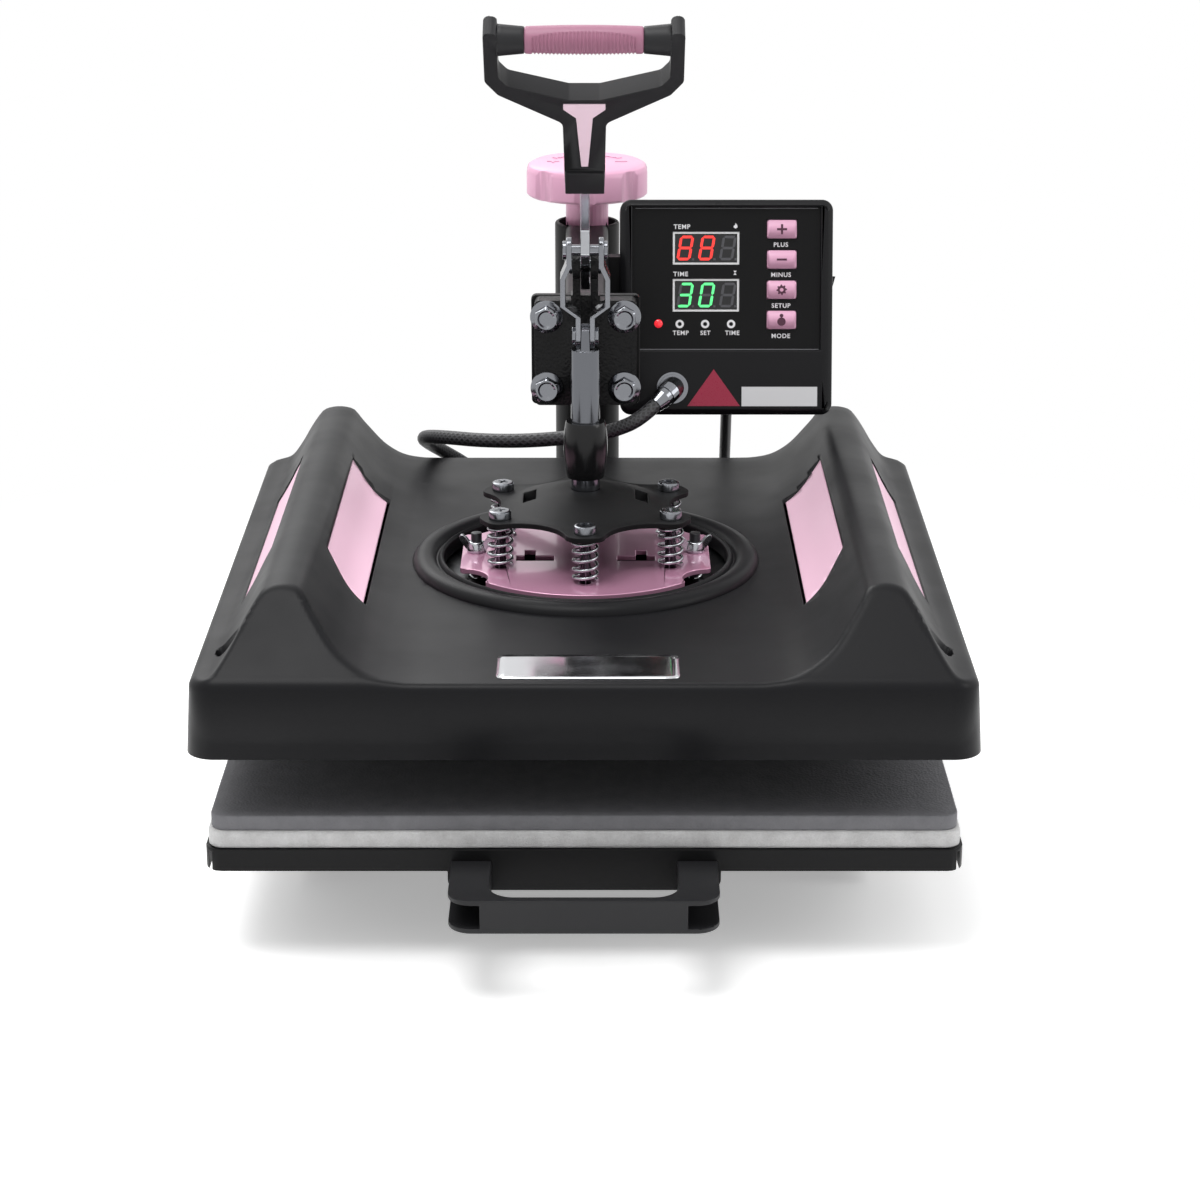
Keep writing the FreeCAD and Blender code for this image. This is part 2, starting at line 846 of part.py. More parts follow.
# Four flanged hexagon bolts with their nuts hold the casting to the end plate.
bolt_flange_radius = size("bolt_flange_radius", 9.0)
bolt_flange_height = size("bolt_flange_height", 1.6)
bolt_head_width = size("bolt_head_width", 12.0)
bolt_head_height = size("bolt_head_height", 7.0)
nut_height = size("nut_height", 6.5)


def hexagon(name, foot, across, height, turn):
    made = doc.addObject("Part::Prism", name)
    made.Polygon = 6
    bind(made, "Circumradius", across / math.sqrt(3))
    bind(made, "Height", height)
    return place(made, foot, turn)


bolts = []
for i, (x, z) in enumerate(bolt_places):
    face = casting_front
    head = face - bolt_flange_height
    shank_length = casting_plate + end_plate_thickness + nut_height
    bolts.append(
        fuse(
            f"bolt_{i}",
            rod(f"bolt_{i}_flange", (x, head, z), bolt_flange_radius, bolt_flange_height, ALONG_Y),
            hexagon(
                f"bolt_{i}_head",
                (x, head - bolt_head_height, z),
                bolt_head_width,
                bolt_head_height,
                ALONG_Y,
            ),
            rod(f"bolt_{i}_shank", (x, face, z), bolt_radius, shank_length, ALONG_Y),
        )
    )
    bolts.append(
        cut(
            f"nut_{i}",
            hexagon(f"nut_{i}_block", (x, beam_start, z), bolt_head_width, nut_height, ALONG_Y),
            rod(f"nut_{i}_bore", (x, beam_start, z), bolt_radius, nut_height, ALONG_Y),
        )
    )
node("clamp_bolts", group("bolts", *bolts))

# The pins are riveted: a shank with a low head at each end.
rivet_head = size("rivet_head", 2.0)


def rivet(name, y, z, radius, head_radius, half_length):
    return fuse(
        name,
        rod(f"{name}_shank", (-half_length, y, z), radius, half_length * 2, ALONG_X),
        rod(f"{name}_right_head", (half_length, y, z), head_radius, rivet_head, ALONG_X),
        rod(f"{name}_left_head", (-half_length - rivet_head, y, z), head_radius, rivet_head, ALONG_X),
    )


lever_pin_half = ear_outer
node("lever_pin", rivet("lever_rivet", pivot_y, pivot_z, pivot_pin_radius, 5.2, lever_pin_half))

# The links are bent strips: close to the rod's tongue at the foot, flared round the
# casting, then close to the lever. Their ends are round about the pins.
link_half_width = size("link_half_width", 7.0)
link_thickness = size("link_thickness", 2.8)
link_foot_x = size("link_foot_x", 2.4)
link_flare_x = size("link_flare_x", 10.7)
link_head_gap = size("link_head_gap", 0.3)
pin_fit = size("pin_fit", 0.05)

link_head_x = ear_outer + link_head_gap
crank_back, crank_z = crank_end(0.0)
link_lean = math.degrees(math.asin(crank_back / link_length))
link_turn = Rotation(Vector(1, 0, 0), -link_lean)
link_end = link_length + link_half_width
link_strip = body("link_strip")
link_inside = [
    (link_foot_x, -link_half_width),
    (link_foot_x, link_length * 0.25),
    (link_flare_x, link_length * 0.38),
    (link_flare_x, link_length * 0.7),
    (link_head_x, link_length * 0.86),
    (link_head_x, link_end),
]
link_front = draw_polygon(
    sketch(link_strip, "XZ_Plane"),
    link_inside + [(x + link_thickness, z) for x, z in reversed(link_inside)],
)
pad(link_strip, link_front, link_half_width * 2, side="Symmetric")
link_reach = link_flare_x + link_thickness
link_side = fuse(
    "link_side",
    rod("link_foot_round", (0.0, 0.0, 0.0), link_half_width, link_reach, ALONG_X),
    rod("link_head_round", (0.0, 0.0, link_length), link_half_width, link_reach, ALONG_X),
    box("link_middle", (0.0, -link_half_width, 0.0), (link_reach, link_half_width * 2, link_length)),
)
link_blank = common("link_blank", link_strip, link_side)
link = cut(
    "right_link",
    link_blank,
    rod("link_foot_hole", (0.0, 0.0, 0.0), link_pin_radius + pin_fit, link_reach, ALONG_X),
    rod("link_head_hole", (0.0, 0.0, link_length), link_pin_radius, link_reach, ALONG_X),
)
links = group("links", link, mirrored(link))
node("toggle_links", place(links, (0.0, head_y, pin_z), link_turn))
link_head_half = link_head_x + link_thickness
node(
    "upper_link_pin",
    rivet("upper_rivet", head_y + crank_back, crank_z, link_pin_radius, 5.0, link_head_half),
)
link_foot_half = link_foot_x + link_thickness
node("lower_link_pin", rivet("lower_rivet", head_y, pin_z, link_pin_radius, 5.0, link_foot_half))

# The lever bar is a flat bar with a lobe. The hole for the links' pin is a slot, long
# enough for the pin's path at every angle of the lever.
lever_turn = Rotation(Vector(1, 0, 0), float(lever_rest))
lever_half = size("lever_half", 8.0)
lever_thickness = size("lever_thickness", 5.0)
lever_tail = size("lever_tail", 15.0)
lever_end = size("lever_end", 78.0)
lever_round = size("lever_round", 4.0)
lobe_margin = size("lobe_margin", 7.0)
slot_gap = size("slot_gap", 0.25)

lobe_angle = math.radians(crank_rest - lever_rest)
lobe_front = -crank_radius * math.sin(lobe_angle)
lobe_high = crank_radius * math.cos(lobe_angle)
bar = body("bar", (0.0, pivot_y, pivot_z), lever_turn)
bar_sketch = draw_polygon(
    sketch(bar, "YZ_Plane"),
    [
        (1.0 - lever_half, -lever_tail),
        (lever_half - 1.0, -lever_tail),
        (lever_half, 0.0),
        (lever_half, lever_end),
        (-lever_half, lever_end),
        (-lever_half, lobe_high + lobe_margin * 2),
        (lobe_front - lobe_margin, lobe_high + lobe_margin / 2),
        (lobe_front - lobe_margin, lobe_high - lobe_margin * 0.7),
        (-lever_half, lobe_high - lobe_margin * 2.6),
    ],
)
bar_block = pad(bar, bar_sketch, lever_thickness, side="Symmetric")
soften(bar, bar_block, lever_round, lambda edge: runs_along(edge, "x") and middle(edge).z < 60)
pocket(bar, draw_circle(sketch(bar, "YZ_Plane"), (0.0, 0.0), pivot_pin_radius + pin_fit), side="Symmetric")


def slot_point(share):
    """The links' pin in the lever's own frame when the plunger has gone a share down."""
    turned = share * lever_travel
    closed_back, closed_high = crank_end(lever_travel)
    lean_end = math.asin(closed_back / link_length)
    lean = math.radians(link_lean) + share * (lean_end - math.radians(link_lean))
    back = link_length * math.sin(lean) - pivot_back
    high = pin_z - share * stroke + link_length * math.cos(lean) - pivot_z
    angle = math.radians(lever_rest + turned)
    return (
        back * math.cos(angle) + high * math.sin(angle),
        -back * math.sin(angle) + high * math.cos(angle),
    )


slot_steps = 8
slot_points = [slot_point(i / slot_steps) for i in range(slot_steps + 1)]
slot_radius = link_pin_radius + slot_gap
slot_length = lever_thickness * 2
slot_tools = []
for i, (back, high) in enumerate(slot_points):
    slot_tools.append(rod(f"slot_end_{i}", (-lever_thickness, back, high), slot_radius, slot_length, ALONG_X))
    if i:
        last_back, last_high = slot_points[i - 1]
        run = math.hypot(back - last_back, high - last_high)
        aim = math.degrees(math.atan2(high - last_high, back - last_back))
        side_y = math.sin(math.radians(aim)) * slot_radius
        side_z = -math.cos(math.radians(aim)) * slot_radius
        bridge = box(
            "slot_bridge",
            (-lever_thickness, last_back + side_y, last_high + side_z),
            (slot_length, run, slot_radius * 2),
        )
        bridge.Placement.Rotation = Rotation(Vector(1, 0, 0), aim)
        slot_tools.append(bridge)
slot_tool = place(fuse("slot_tool", *slot_tools), (0.0, pivot_y, pivot_z), lever_turn)
node("lever_bar", cut("lever_plate", bar, slot_tool))


# The handle is a moulded fork on the lever bar's end. A steel core runs across between
# its arms and carries the grip barrel between two tapered collars.
handle_foot = size("handle_foot", 64.0)
handle_block_end = size("handle_block_end", 79.0)
handle_block_depth = size("handle_block_depth", 17.6)
stem_half = size("stem_half", 10.3)
stem_end = size("stem_end", 113.0)
fork_low = size("fork_low", 129.5)
fork_bend = size("fork_bend", 142.0)
fork_end = size("fork_end", 175.0)
fork_half = size("fork_half", 50.5)
fork_arm = size("fork_arm", 7.0)
fork_depth = size("fork_depth", 13.0)
fork_round = size("fork_round", 5.0)
grip_drop = size("grip_drop", 10.1)
grip_half = size("grip_half", 30.0)
grip_radius = size("grip_radius", 7.45)
grip_end_radius = size("grip_end_radius", 6.8)
core_radius = size("core_radius", 4.0)
inlay_thickness = size("inlay_thickness", 1.2)
inlay_recess = size("inlay_recess", 1.0)
inlay_low = size("inlay_low", 82.0)

lever_at = (0.0, pivot_y, pivot_z)
fork_inner = fork_half - fork_arm
grip_height = fork_end - grip_drop
right_outline = [
    (stem_half, handle_foot),
    (stem_half + 0.9, stem_end),
    (fork_half - 6.5, fork_bend - 9.0),
    (fork_half, fork_bend),
    (fork_half, fork_end),
    (fork_inner, fork_end),
    (fork_inner, fork_bend + 3.0),
    (fork_inner - 4.5, fork_bend - 3.0),
    (stem_half - 2.3, fork_low),
]
fork = body("fork")
fork_sketch = sketch(fork, "XZ_Plane")
draw_polygon(fork_sketch, right_outline + [(-x, z) for x, z in reversed(right_outline)])
fork_pad = pad(fork, fork_sketch, fork_depth, side="Symmetric")


def fork_corner(edge):
    spot = middle(edge)
    return runs_along(edge, "y") and spot.z > float(stem_end) and spot.z < float(fork_bend) + 5.0


fork_rounded = soften(fork, fork_pad, fork_round, fork_corner)
soften(
    fork,
    fork_rounded,
    fork_arm / 2 - 0.5,
    lambda edge: runs_along(edge, "y") and middle(edge).z > float(fork_end) - 0.1,
)
handle_block = box(
    "handle_block",
    (-stem_half, -handle_block_depth / 2, handle_foot),
    (stem_half * 2, handle_block_depth, handle_block_end - handle_foot),
)
core = rod("grip_core", (-fork_inner - 1.0, 0.0, grip_height), core_radius, fork_inner * 2 + 2.0, ALONG_X)
collar_length = fork_inner - grip_half
right_collar = cone(
    "right_collar",
    (grip_half, 0.0, grip_height),
    grip_end_radius,
    grip_radius + 0.6,
    collar_length,
    ALONG_X,
)
bar_space = box(
    "bar_space",
    (-lever_thickness / 2, -lever_half, handle_foot),
    (lever_thickness, lever_half * 2, lever_end - handle_foot),
)


def inlay_plate(name, depth):
    """The inlay's shape, from the bottom of its recess forwards."""
    made = body(name)
    flat = sketch(made, "XZ_Plane", fork_depth / 2 - inlay_recess)
    right = [
        (1.8, inlay_low),
        (4.3, stem_end + 4.0),
        (stem_half + 0.5, stem_end + 10.0),
        (stem_half + 0.5, fork_low - 2.5),
    ]
    draw_polygon(flat, right + [(-x, z) for x, z in reversed(right)])
    pad(made, flat, depth)
    return made


handle_parts = fuse("handle_parts", fork, handle_block, core, right_collar, mirrored(right_collar))
handle_body = cut("handle_body", handle_parts, bar_space, inlay_plate("inlay_space", inlay_thickness * 3))
node("handle_frame", place(handle_body, lever_at, lever_turn))
inlay = inlay_plate("inlay", inlay_thickness)
node("handle_inlay", place(inlay, lever_at, lever_turn))

lever_lean = math.radians(lever_rest)
grip_at = (
    0.0,
    pivot_y - grip_height * math.sin(lever_lean),
    pivot_z + grip_height * math.cos(lever_lean),
)
grip = body("grip", grip_at, ALONG_X)
revolve(
    grip,
    [
        (core_radius, -grip_half),
        (grip_end_radius, -grip_half),
        (grip_radius, 0.0),
        (grip_end_radius, grip_half),
        (core_radius, grip_half),
    ],
)
node("grip_barrel", grip)

# The knob's neck rests on the thrust plug. Its screw hangs from the plug by a collar and
# works in the threaded cap of the swivel liner.
knob_radius = size("knob_radius", 37.8)
knob_neck = size("knob_neck", 13.15)
knob_underside = size("knob_underside", 314.0)
knob_thickness = size("knob_thickness", 20.0)
knob_edge = size("knob_edge", 4.5)
knob_lobes = 8
scallop_radius = size("scallop_radius", 18.0)
scallop_depth = size("scallop_depth", 1.9)
screw_length = size("screw_length", 150.0)
screw_collar = size("screw_collar", 9.0)
screw_collar_height = size("screw_collar_height", 3.7)
screw_grip = size("screw_grip", 11.0)

knob_top = knob_underside + knob_thickness
screw_top = knob_underside + screw_grip
knob = body("knob", (0.0, column_y, 0.0))
revolve(
    knob,
    [
        (screw_radius, plug_top),
        (knob_neck, plug_top),
        (knob_neck, knob_underside),
        (knob_radius - 1.5, knob_underside),
        (knob_radius, knob_underside + 1.5),
        (knob_radius, knob_top - knob_edge),
        (knob_radius - 1.4, knob_top - 1.6),
        (knob_radius - knob_edge, knob_top),
        (0.0, knob_top),
        (0.0, screw_top),
        (screw_radius, screw_top),
    ],
)
scallop = draw_circle(
    sketch(knob, "XY_Plane", knob_top),
    (0.0, knob_radius + scallop_radius - scallop_depth),
    scallop_radius,
)
scallop_cut = pocket(knob, scallop, knob_thickness + 0.1)
repeat_round(knob, scallop_cut, knob_lobes)
node("pressure_knob", knob)

screw = body("screw", (0.0, column_y, 0.0))
collar_top = plug_top - plug_thickness - slide_gap
revolve(
    screw,
    [
        (0.0, screw_top - screw_length),
        (screw_radius - 1.5, screw_top - screw_length),
        (screw_radius, screw_top - screw_length + 1.5),
        (screw_radius, collar_top - screw_collar_height),
        (screw_collar, collar_top - screw_collar_height),
        (screw_collar, collar_top),
        (screw_radius, collar_top),
        (screw_radius, screw_top),
        (0.0, screw_top),
    ],
)
node("pressure_screw", screw)

# The control box stands beside the arm and leans back, so that its face meets the eye.
# Its pieces are drawn with the face's middle as origin: X across, Y into the box, Z up
# the face.
bracket_thickness = size("bracket_thickness", 6.9)
box_width = size("box_width", 126.0)
box_height = size("box_height", 127.0)
box_depth = size("box_depth", 45.0)
box_split = size("box_split", 14.0)
box_back = size("box_back", 137.0)
box_middle_z = size("box_middle_z", 266.0)
box_tilt = size("box_tilt", 13.0)
box_wall = size("box_wall", 2.5)
box_corner = size("box_corner", 6.5)
box_bevel = size("box_bevel", 3.0)
face_thickness = size("face_thickness", 5.0)
panel_half = size("panel_half", 55.6)
panel_low = size("panel_low", -25.2)
panel_high = size("panel_high", 59.1)
panel_thickness = size("panel_thickness", 2.0)
board_depth = size("board_depth", 11.5)
board_thickness = size("board_thickness", 1.6)
board_half = size("board_half", 60.0)

box_x = beam_half + bracket_thickness + box_width / 2
box_at = (box_x, head_y + box_back, box_middle_z)
box_turn = Rotation(Vector(-1, 0, 0), float(box_tilt))
tilt_sin = math.sin(math.radians(box_tilt))
tilt_cos = math.cos(math.radians(box_tilt))


def on_box(across, into, up):
    """A point of the box's own frame, in the machine's frame."""
    return (
        box_at[0] + across,
        box_at[1] + into * tilt_cos + up * tilt_sin,
        box_at[2] - into * tilt_sin + up * tilt_cos,
    )


def box_piece(name):
    return body(name, box_at, box_turn)


half_wide = box_width / 2
half_high = box_height / 2
front_shell = box_piece("front_shell")
shell_block = pad(
    front_shell,
    draw_rectangle(sketch(front_shell, "XZ_Plane"), -half_wide, -half_high, half_wide, half_high),
    box_split,
    backwards=True,
)
shell_rounded = soften(front_shell, shell_block, box_corner, lambda edge: runs_along(edge, "y"))
soften(
    front_shell,
    shell_rounded,
    box_bevel,
    lambda edge: abs(edge.BoundBox.YMin) < 0.01 and abs(edge.BoundBox.YMax) < 0.01,
    "Chamfer",
)
shell_cavity = draw_rectangle(
    sketch(front_shell, "XZ_Plane", -box_split),
    box_wall - half_wide,
    box_wall - half_high,
    half_wide - box_wall,
    half_high - box_wall,
)
pocket(front_shell, shell_cavity, box_split - face_thickness, backwards=True)
panel_opening = draw_rectangle(
    sketch(front_shell, "XZ_Plane"), -panel_half, panel_low, panel_half, panel_high
)
pocket(front_shell, panel_opening)
socket_x = size("socket_x", -31.9)
socket_z = size("socket_z", -47.4)
socket_radius = size("socket_radius", 6.7)
socket_hole = draw_circle(sketch(front_shell, "XZ_Plane"), (socket_x, socket_z), socket_radius)
pocket(front_shell, socket_hole)
boss_radius = size("boss_radius", 2.0)
boss_inset = boss_radius + 0.4
bosses = sketch(front_shell, "XZ_Plane", -board_depth)
for boss_x in (-panel_half - boss_inset, panel_half + boss_inset):
    for boss_z in (panel_low + 4.0, panel_high - 6.0):
        draw_circle(bosses, (boss_x, boss_z), boss_radius)
pad(front_shell, bosses, board_depth - face_thickness + 0.5)
node("box_front_shell", front_shell)

rocker_depth = size("rocker_depth", 29.0)
rocker_half_wide = size("rocker_half_wide", 6.5)
rocker_half_high = size("rocker_half_high", 9.0)
rocker_up = size("rocker_up", 10.0)
rocker_swing = size("rocker_swing", 12.0)
rocker_gap = size("rocker_gap", 1.5)
gland_x = size("gland_x", 2.0)
gland_z = size("gland_z", -40.0)
gland_radius = size("gland_radius", 6.5)

rear_shell = box_piece("rear_shell")
rear_block = pad(
    rear_shell,
    draw_rectangle(
        sketch(rear_shell, "XZ_Plane", -box_split), -half_wide, -half_high, half_wide, half_high
    ),
    box_depth - box_split,
    backwards=True,
)
rear_rounded = soften(rear_shell, rear_block, box_corner, lambda edge: runs_along(edge, "y"))
soften(
    rear_shell,
    rear_rounded,
    box_bevel / 2,
    lambda edge: edge.BoundBox.YMin > float(box_depth) - 0.01,
)
rear_cavity = draw_rectangle(
    sketch(rear_shell, "XZ_Plane", -box_split),
    box_wall - half_wide,
    box_wall - half_high,
    half_wide - box_wall,
    half_high - box_wall,
)
pocket(rear_shell, rear_cavity, box_depth - box_split - box_wall)
gland_hole = draw_circle(sketch(rear_shell, "XZ_Plane", -box_depth), (gland_x, gland_z), gland_radius)
pocket(rear_shell, gland_hole, box_wall * 2, backwards=True)
rocker_hole = draw_rectangle(
    sketch(rear_shell, "YZ_Plane", half_wide),
    rocker_depth - rocker_half_wide - slide_gap,
    rocker_up - rocker_half_high - rocker_gap,
    rocker_depth + rocker_half_wide + slide_gap,
    rocker_up + rocker_half_high + rocker_gap,
)
pocket(rear_shell, rocker_hole, box_wall * 2)
node("box_rear_shell", rear_shell)

# The panel fills the front shell's opening. It has a window for each display and a hole
# for each button.
window_width = size("window_width", 39.4)
window_height = size("window_height", 19.3)
window_x = size("window_x", -12.1)
window_high_z = size("window_high_z", 35.0)
window_step = size("window_step", 27.7)
button_width = size("button_width", 17.3)
button_height = size("button_height", 10.7)
button_x = size("button_x", 32.7)
button_high_z = size("button_high_z", 46.1)
button_step = size("button_step", 17.8)
button_proud = size("button_proud", 1.8)
button_length = size("button_length", 7.0)
button_travel = size("button_travel", 1.0)
button_lip = size("button_lip", 1.0)
button_round = size("button_round", 1.5)

panel_front = face_thickness - panel_thickness
window_places = [(window_x, window_high_z - window_step * i) for i in range(2)]
button_names = ["plus_button", "minus_button", "setup_button", "mode_button"]
button_places = [(button_x, button_high_z - button_step * i) for i in range(len(button_names))]
panel = box_piece("panel")
pad(
    panel,
    draw_rectangle(
        sketch(panel, "XZ_Plane", -panel_front), -panel_half, panel_low, panel_half, panel_high
    ),
    panel_thickness,
    backwards=True,
)
panel_holes = sketch(panel, "XZ_Plane", -panel_front)
for x, z in window_places:
    draw_rectangle(
        panel_holes, x - window_width / 2, z - window_height / 2, x + window_width / 2, z + window_height / 2
    )
hole_half_wide = button_width / 2 + slide_gap
hole_half_high = button_height / 2 + slide_gap
for x, z in button_places:
    low_corner = (x - hole_half_wide, z - hole_half_high)
    draw_rectangle(panel_holes, *low_corner, x + hole_half_wide, z + hole_half_high)
pocket(panel, panel_holes)
node("control_panel", panel)

modules = [
    box(
        f"display_{i}",
        (x - window_width / 2, panel_front + slide_gap, z - window_height / 2),
        (window_width, board_depth - panel_front - slide_gap, window_height),
    )
    for i, (x, z) in enumerate(window_places)
]
node("display_modules", place(group("modules", *modules), box_at, box_turn))

# The circuit board stands on bosses behind the panel, with a tact switch per button.
button_rear = panel_front - button_proud + button_length
switch_side = size("switch_side", 6.0)
switch_front = button_rear + button_travel + slide_gap / 2
board = box_piece("board")
pad(
    board,
    draw_rectangle(
        sketch(board, "XZ_Plane", -board_depth), -board_half, panel_low - 2.0, board_half, panel_high - 2.0
    ),
    board_thickness,
    backwards=True,
)
switches = sketch(board, "XZ_Plane", -switch_front)
for x, z in button_places:
    draw_rectangle(
        switches, x - switch_side / 2, z - switch_side / 2, x + switch_side / 2, z + switch_side / 2
    )
pad(board, switches, board_depth - switch_front, backwards=True)
node("control_board", board)

for name, (x, z) in zip(button_names, button_places):
    button = box_piece(name)
    cap_sketch = sketch(button, "XZ_Plane", button_proud - panel_front)
    draw_rectangle(
        cap_sketch, x - button_width / 2, z - button_height / 2, x + button_width / 2, z + button_height / 2
    )
    button_pad = pad(button, cap_sketch, button_length, backwards=True)
    button_sides = soften(button, button_pad, button_round, lambda edge: runs_along(edge, "y"))
    lip_sketch = sketch(button, "XZ_Plane", -face_thickness - slide_gap / 2)
    draw_rectangle(
        lip_sketch,
        x - button_width / 2 - button_lip,
        z - button_height / 2 - button_lip,
        x + button_width / 2 + button_lip,
        z + button_height / 2 + button_lip,
    )
    pad(button, lip_sketch, button_lip, backwards=True)
    node(name, button)

# The rocker switch sits in the right side wall and tips about an axis into the box.
rocker_at = on_box(half_wide - box_wall, rocker_depth, rocker_up)
rocker = body("rocker", rocker_at, box_turn.multiply(Rotation(Vector(0, 1, 0), float(rocker_swing) / 2)))
rocker_sketch = draw_polygon(
    sketch(rocker, "XZ_Plane"),
    [
        (-box_wall, -rocker_half_high * 0.6),
        (box_wall, -rocker_half_high),
        (box_wall * 1.9, -rocker_half_high),
        (box_wall * 1.3, 0.0),
        (box_wall * 1.9, rocker_half_high),
        (box_wall, rocker_half_high),
        (-box_wall, rocker_half_high * 0.6),
    ],
)
pad(rocker, rocker_sketch, rocker_half_wide * 2, side="Symmetric")
node("rocker_switch", rocker)

# The panel socket is a turned ring with a flange, for the platen cable's plug.
out_of_box = box_turn.multiply(Rotation(Vector(1, 0, 0), 90))
socket_flange = size("socket_flange", 9.3)
socket_flange_height = size("socket_flange_height", 1.5)
socket_collar = size("socket_collar", 7.9)
socket_collar_height = size("socket_collar_height", 5.0)
socket_depth = size("socket_depth", 12.0)
plug_radius = size("plug_radius", 6.65)
socket_bore = plug_radius + running_fit

socket = body("socket", on_box(socket_x, 0.0, socket_z), out_of_box)
revolve(
    socket,
    [
        (0.0, -socket_depth),
        (socket_radius, -socket_depth),
        (socket_radius, 0.0),
        (socket_flange, 0.0),
        (socket_flange, socket_flange_height),
        (socket_collar, socket_flange_height),
        (socket_collar, socket_collar_height),
        (socket_bore, socket_collar_height),
        (socket_bore, socket_flange_height),
        (0.0, socket_flange_height),
    ],
)
node("panel_socket", socket)

# The mains gland is a tapered strain relief on the back of the box.
into_box = box_turn.multiply(Rotation(Vector(1, 0, 0), -90))
gland_flange = size("gland_flange", 8.5)
gland_flange_height = size("gland_flange_height", 2.0)
gland_length = size("gland_length", 26.0)
gland_tip = size("gland_tip", 4.4)
gland = body("gland", on_box(gland_x, box_depth, gland_z), into_box)
revolve(
    gland,
    [
        (0.0, -box_wall - 2.0),
        (gland_radius, -box_wall - 2.0),
        (gland_radius, 0.0),
        (gland_flange, 0.0),
        (gland_flange, gland_flange_height),
        (gland_radius, gland_flange_height),
        (gland_tip, gland_length),
        (0.0, gland_length),
    ],
)
node("mains_gland", gland)

# The bracket is welded to the beam's side and carries the box by its left wall.
bracket_front = size("bracket_front", 148.0)
bracket_depth = size("bracket_depth", 28.0)
bracket_low = size("bracket_low", 262.0)
bracket_slope = size("bracket_slope", 9.0)
bracket = body("bracket", (beam_half, head_y, 0.0))
bracket_sketch = draw_polygon(
    sketch(bracket, "YZ_Plane"),
    [
        (bracket_front, bracket_low),
        (bracket_front + bracket_depth, bracket_low),
        (bracket_front + bracket_depth, beam_top - bracket_slope),
        (bracket_front + bracket_slope, beam_top - beam_round),
        (bracket_front, beam_top - beam_round),
    ],
)
pad(bracket, bracket_sketch, bracket_thickness)
node("box_bracket", bracket)


def arc_path(points, radii):
    """Straight runs between points, joined by tangent arcs of the given radii."""
    edges = []
    start = points[0]
    for before, corner, after, radius in zip(points, points[1:], points[2:], radii):
        back = (before - corner).normalize()
        ahead = (after - corner).normalize()
        half_turn = (math.pi - back.getAngle(ahead)) / 2
        trim = radius * math.tan(half_turn)
        first = corner + back * trim
        last = corner + ahead * trim
        inward = (back + ahead).normalize()
        centre_gap = math.hypot(trim, radius)
        crown = corner + inward * (centre_gap - radius)
        if start.distanceToPoint(first) > 1e-6:
            edges.append(Part.LineSegment(start, first).toShape())
        edges.append(Part.Arc(first, crown, last).toShape())
        start = last
    edges.append(Part.LineSegment(start, points[-1]).toShape())
    return Part.Wire(edges)


def tube_along(path, radius, sides=None, corners=0):
    """Sweeps a round or few-sided section along a path; corners 1 mitres its bends."""
    first = path.OrderedEdges[0]
    start = first.valueAt(first.FirstParameter)
    ahead = first.tangentAt(first.FirstParameter)
    if first.Orientation == "Reversed":
        start = first.valueAt(first.LastParameter)
        ahead = -first.tangentAt(first.LastParameter)
    turn = Rotation(Vector(0, 0, 1), ahead)
    if sides is None:
        section = Part.Wire(Part.Circle(start, ahead, float(radius)).toShape())
    else:
        spokes = [2 * math.pi * i / sides for i in range(sides)]
        rim = [start + turn.multVec(Vector(math.cos(a), math.sin(a), 0) * float(radius)) for a in spokes]
        section = Part.makePolygon(rim + rim[:1])
    tube = path.makePipeShell([section], True, False, corners)
    expected = Part.Face(section).Area * path.Length
    if not tube.isValid() or abs(tube.Volume / expected - 1) > 0.01:
        raise RuntimeError("a tube does not follow its path")
    return tube


elbow_sides = 20
elbow_lead = size("elbow_lead", 3.5)


def elbow(name, start, corner, end, mitre, radius):
    """An elbow of three straight runs with mitred bends and many flats round it."""
    near, middle_spot, far = [Vector(*spot) for spot in (start, corner, end)]
    back = (near - middle_spot).normalize() * float(mitre)
    ahead = (far - middle_spot).normalize() * float(mitre)
    line = Part.makePolygon([near, middle_spot + back, middle_spot + ahead, far])
    return plain(name, tube_along(line, radius, elbow_sides, corners=1))


# The platen cable's plug has a nut side that fits the socket and an elbow that droops.
plug_elbow = size("plug_elbow", 11.0)
plug_body = size("plug_body", 10.0)
plug_tail = size("plug_tail", 7.0)
plug_droop = size("plug_droop", 26.0)
plug_swing = size("plug_swing", 45.0)
plug_mitre = size("plug_mitre", 3.0)
plug_neck = size("plug_neck", 6.1)
cable_radius = size("cable_radius", 4.25)

socket_face = on_box(socket_x, -socket_flange_height, socket_z)
elbow_at = on_box(socket_x, -plug_elbow, socket_z)
plug_swing_turn = Rotation(Vector(0, 0, -1), float(plug_swing))
droop_turn = plug_swing_turn.multiply(Rotation(Vector(1, 0, 0), 90 + float(plug_droop)))
plug_way = droop_turn.multVec(Vector(0, 0, 1))


def down_the_plug(distance):
    """A place on the drooping side of the plug's elbow."""
    return tuple(a + b * distance for a, b in zip(elbow_at, plug_way))


plug_start = down_the_plug(plug_mitre + elbow_lead)
plug_tail_at = down_the_plug(plug_body)
node(
    "cable_plug",
    fuse(
        "plug_parts",
        elbow("plug_elbow_bend", socket_face, elbow_at, plug_start, plug_mitre, plug_radius),
        rod("plug_body", plug_start, plug_neck, plug_body - plug_mitre - elbow_lead, droop_turn),
        cone("plug_tail", plug_tail_at, plug_neck, cable_radius + 0.4, plug_tail, droop_turn),
    ),
)

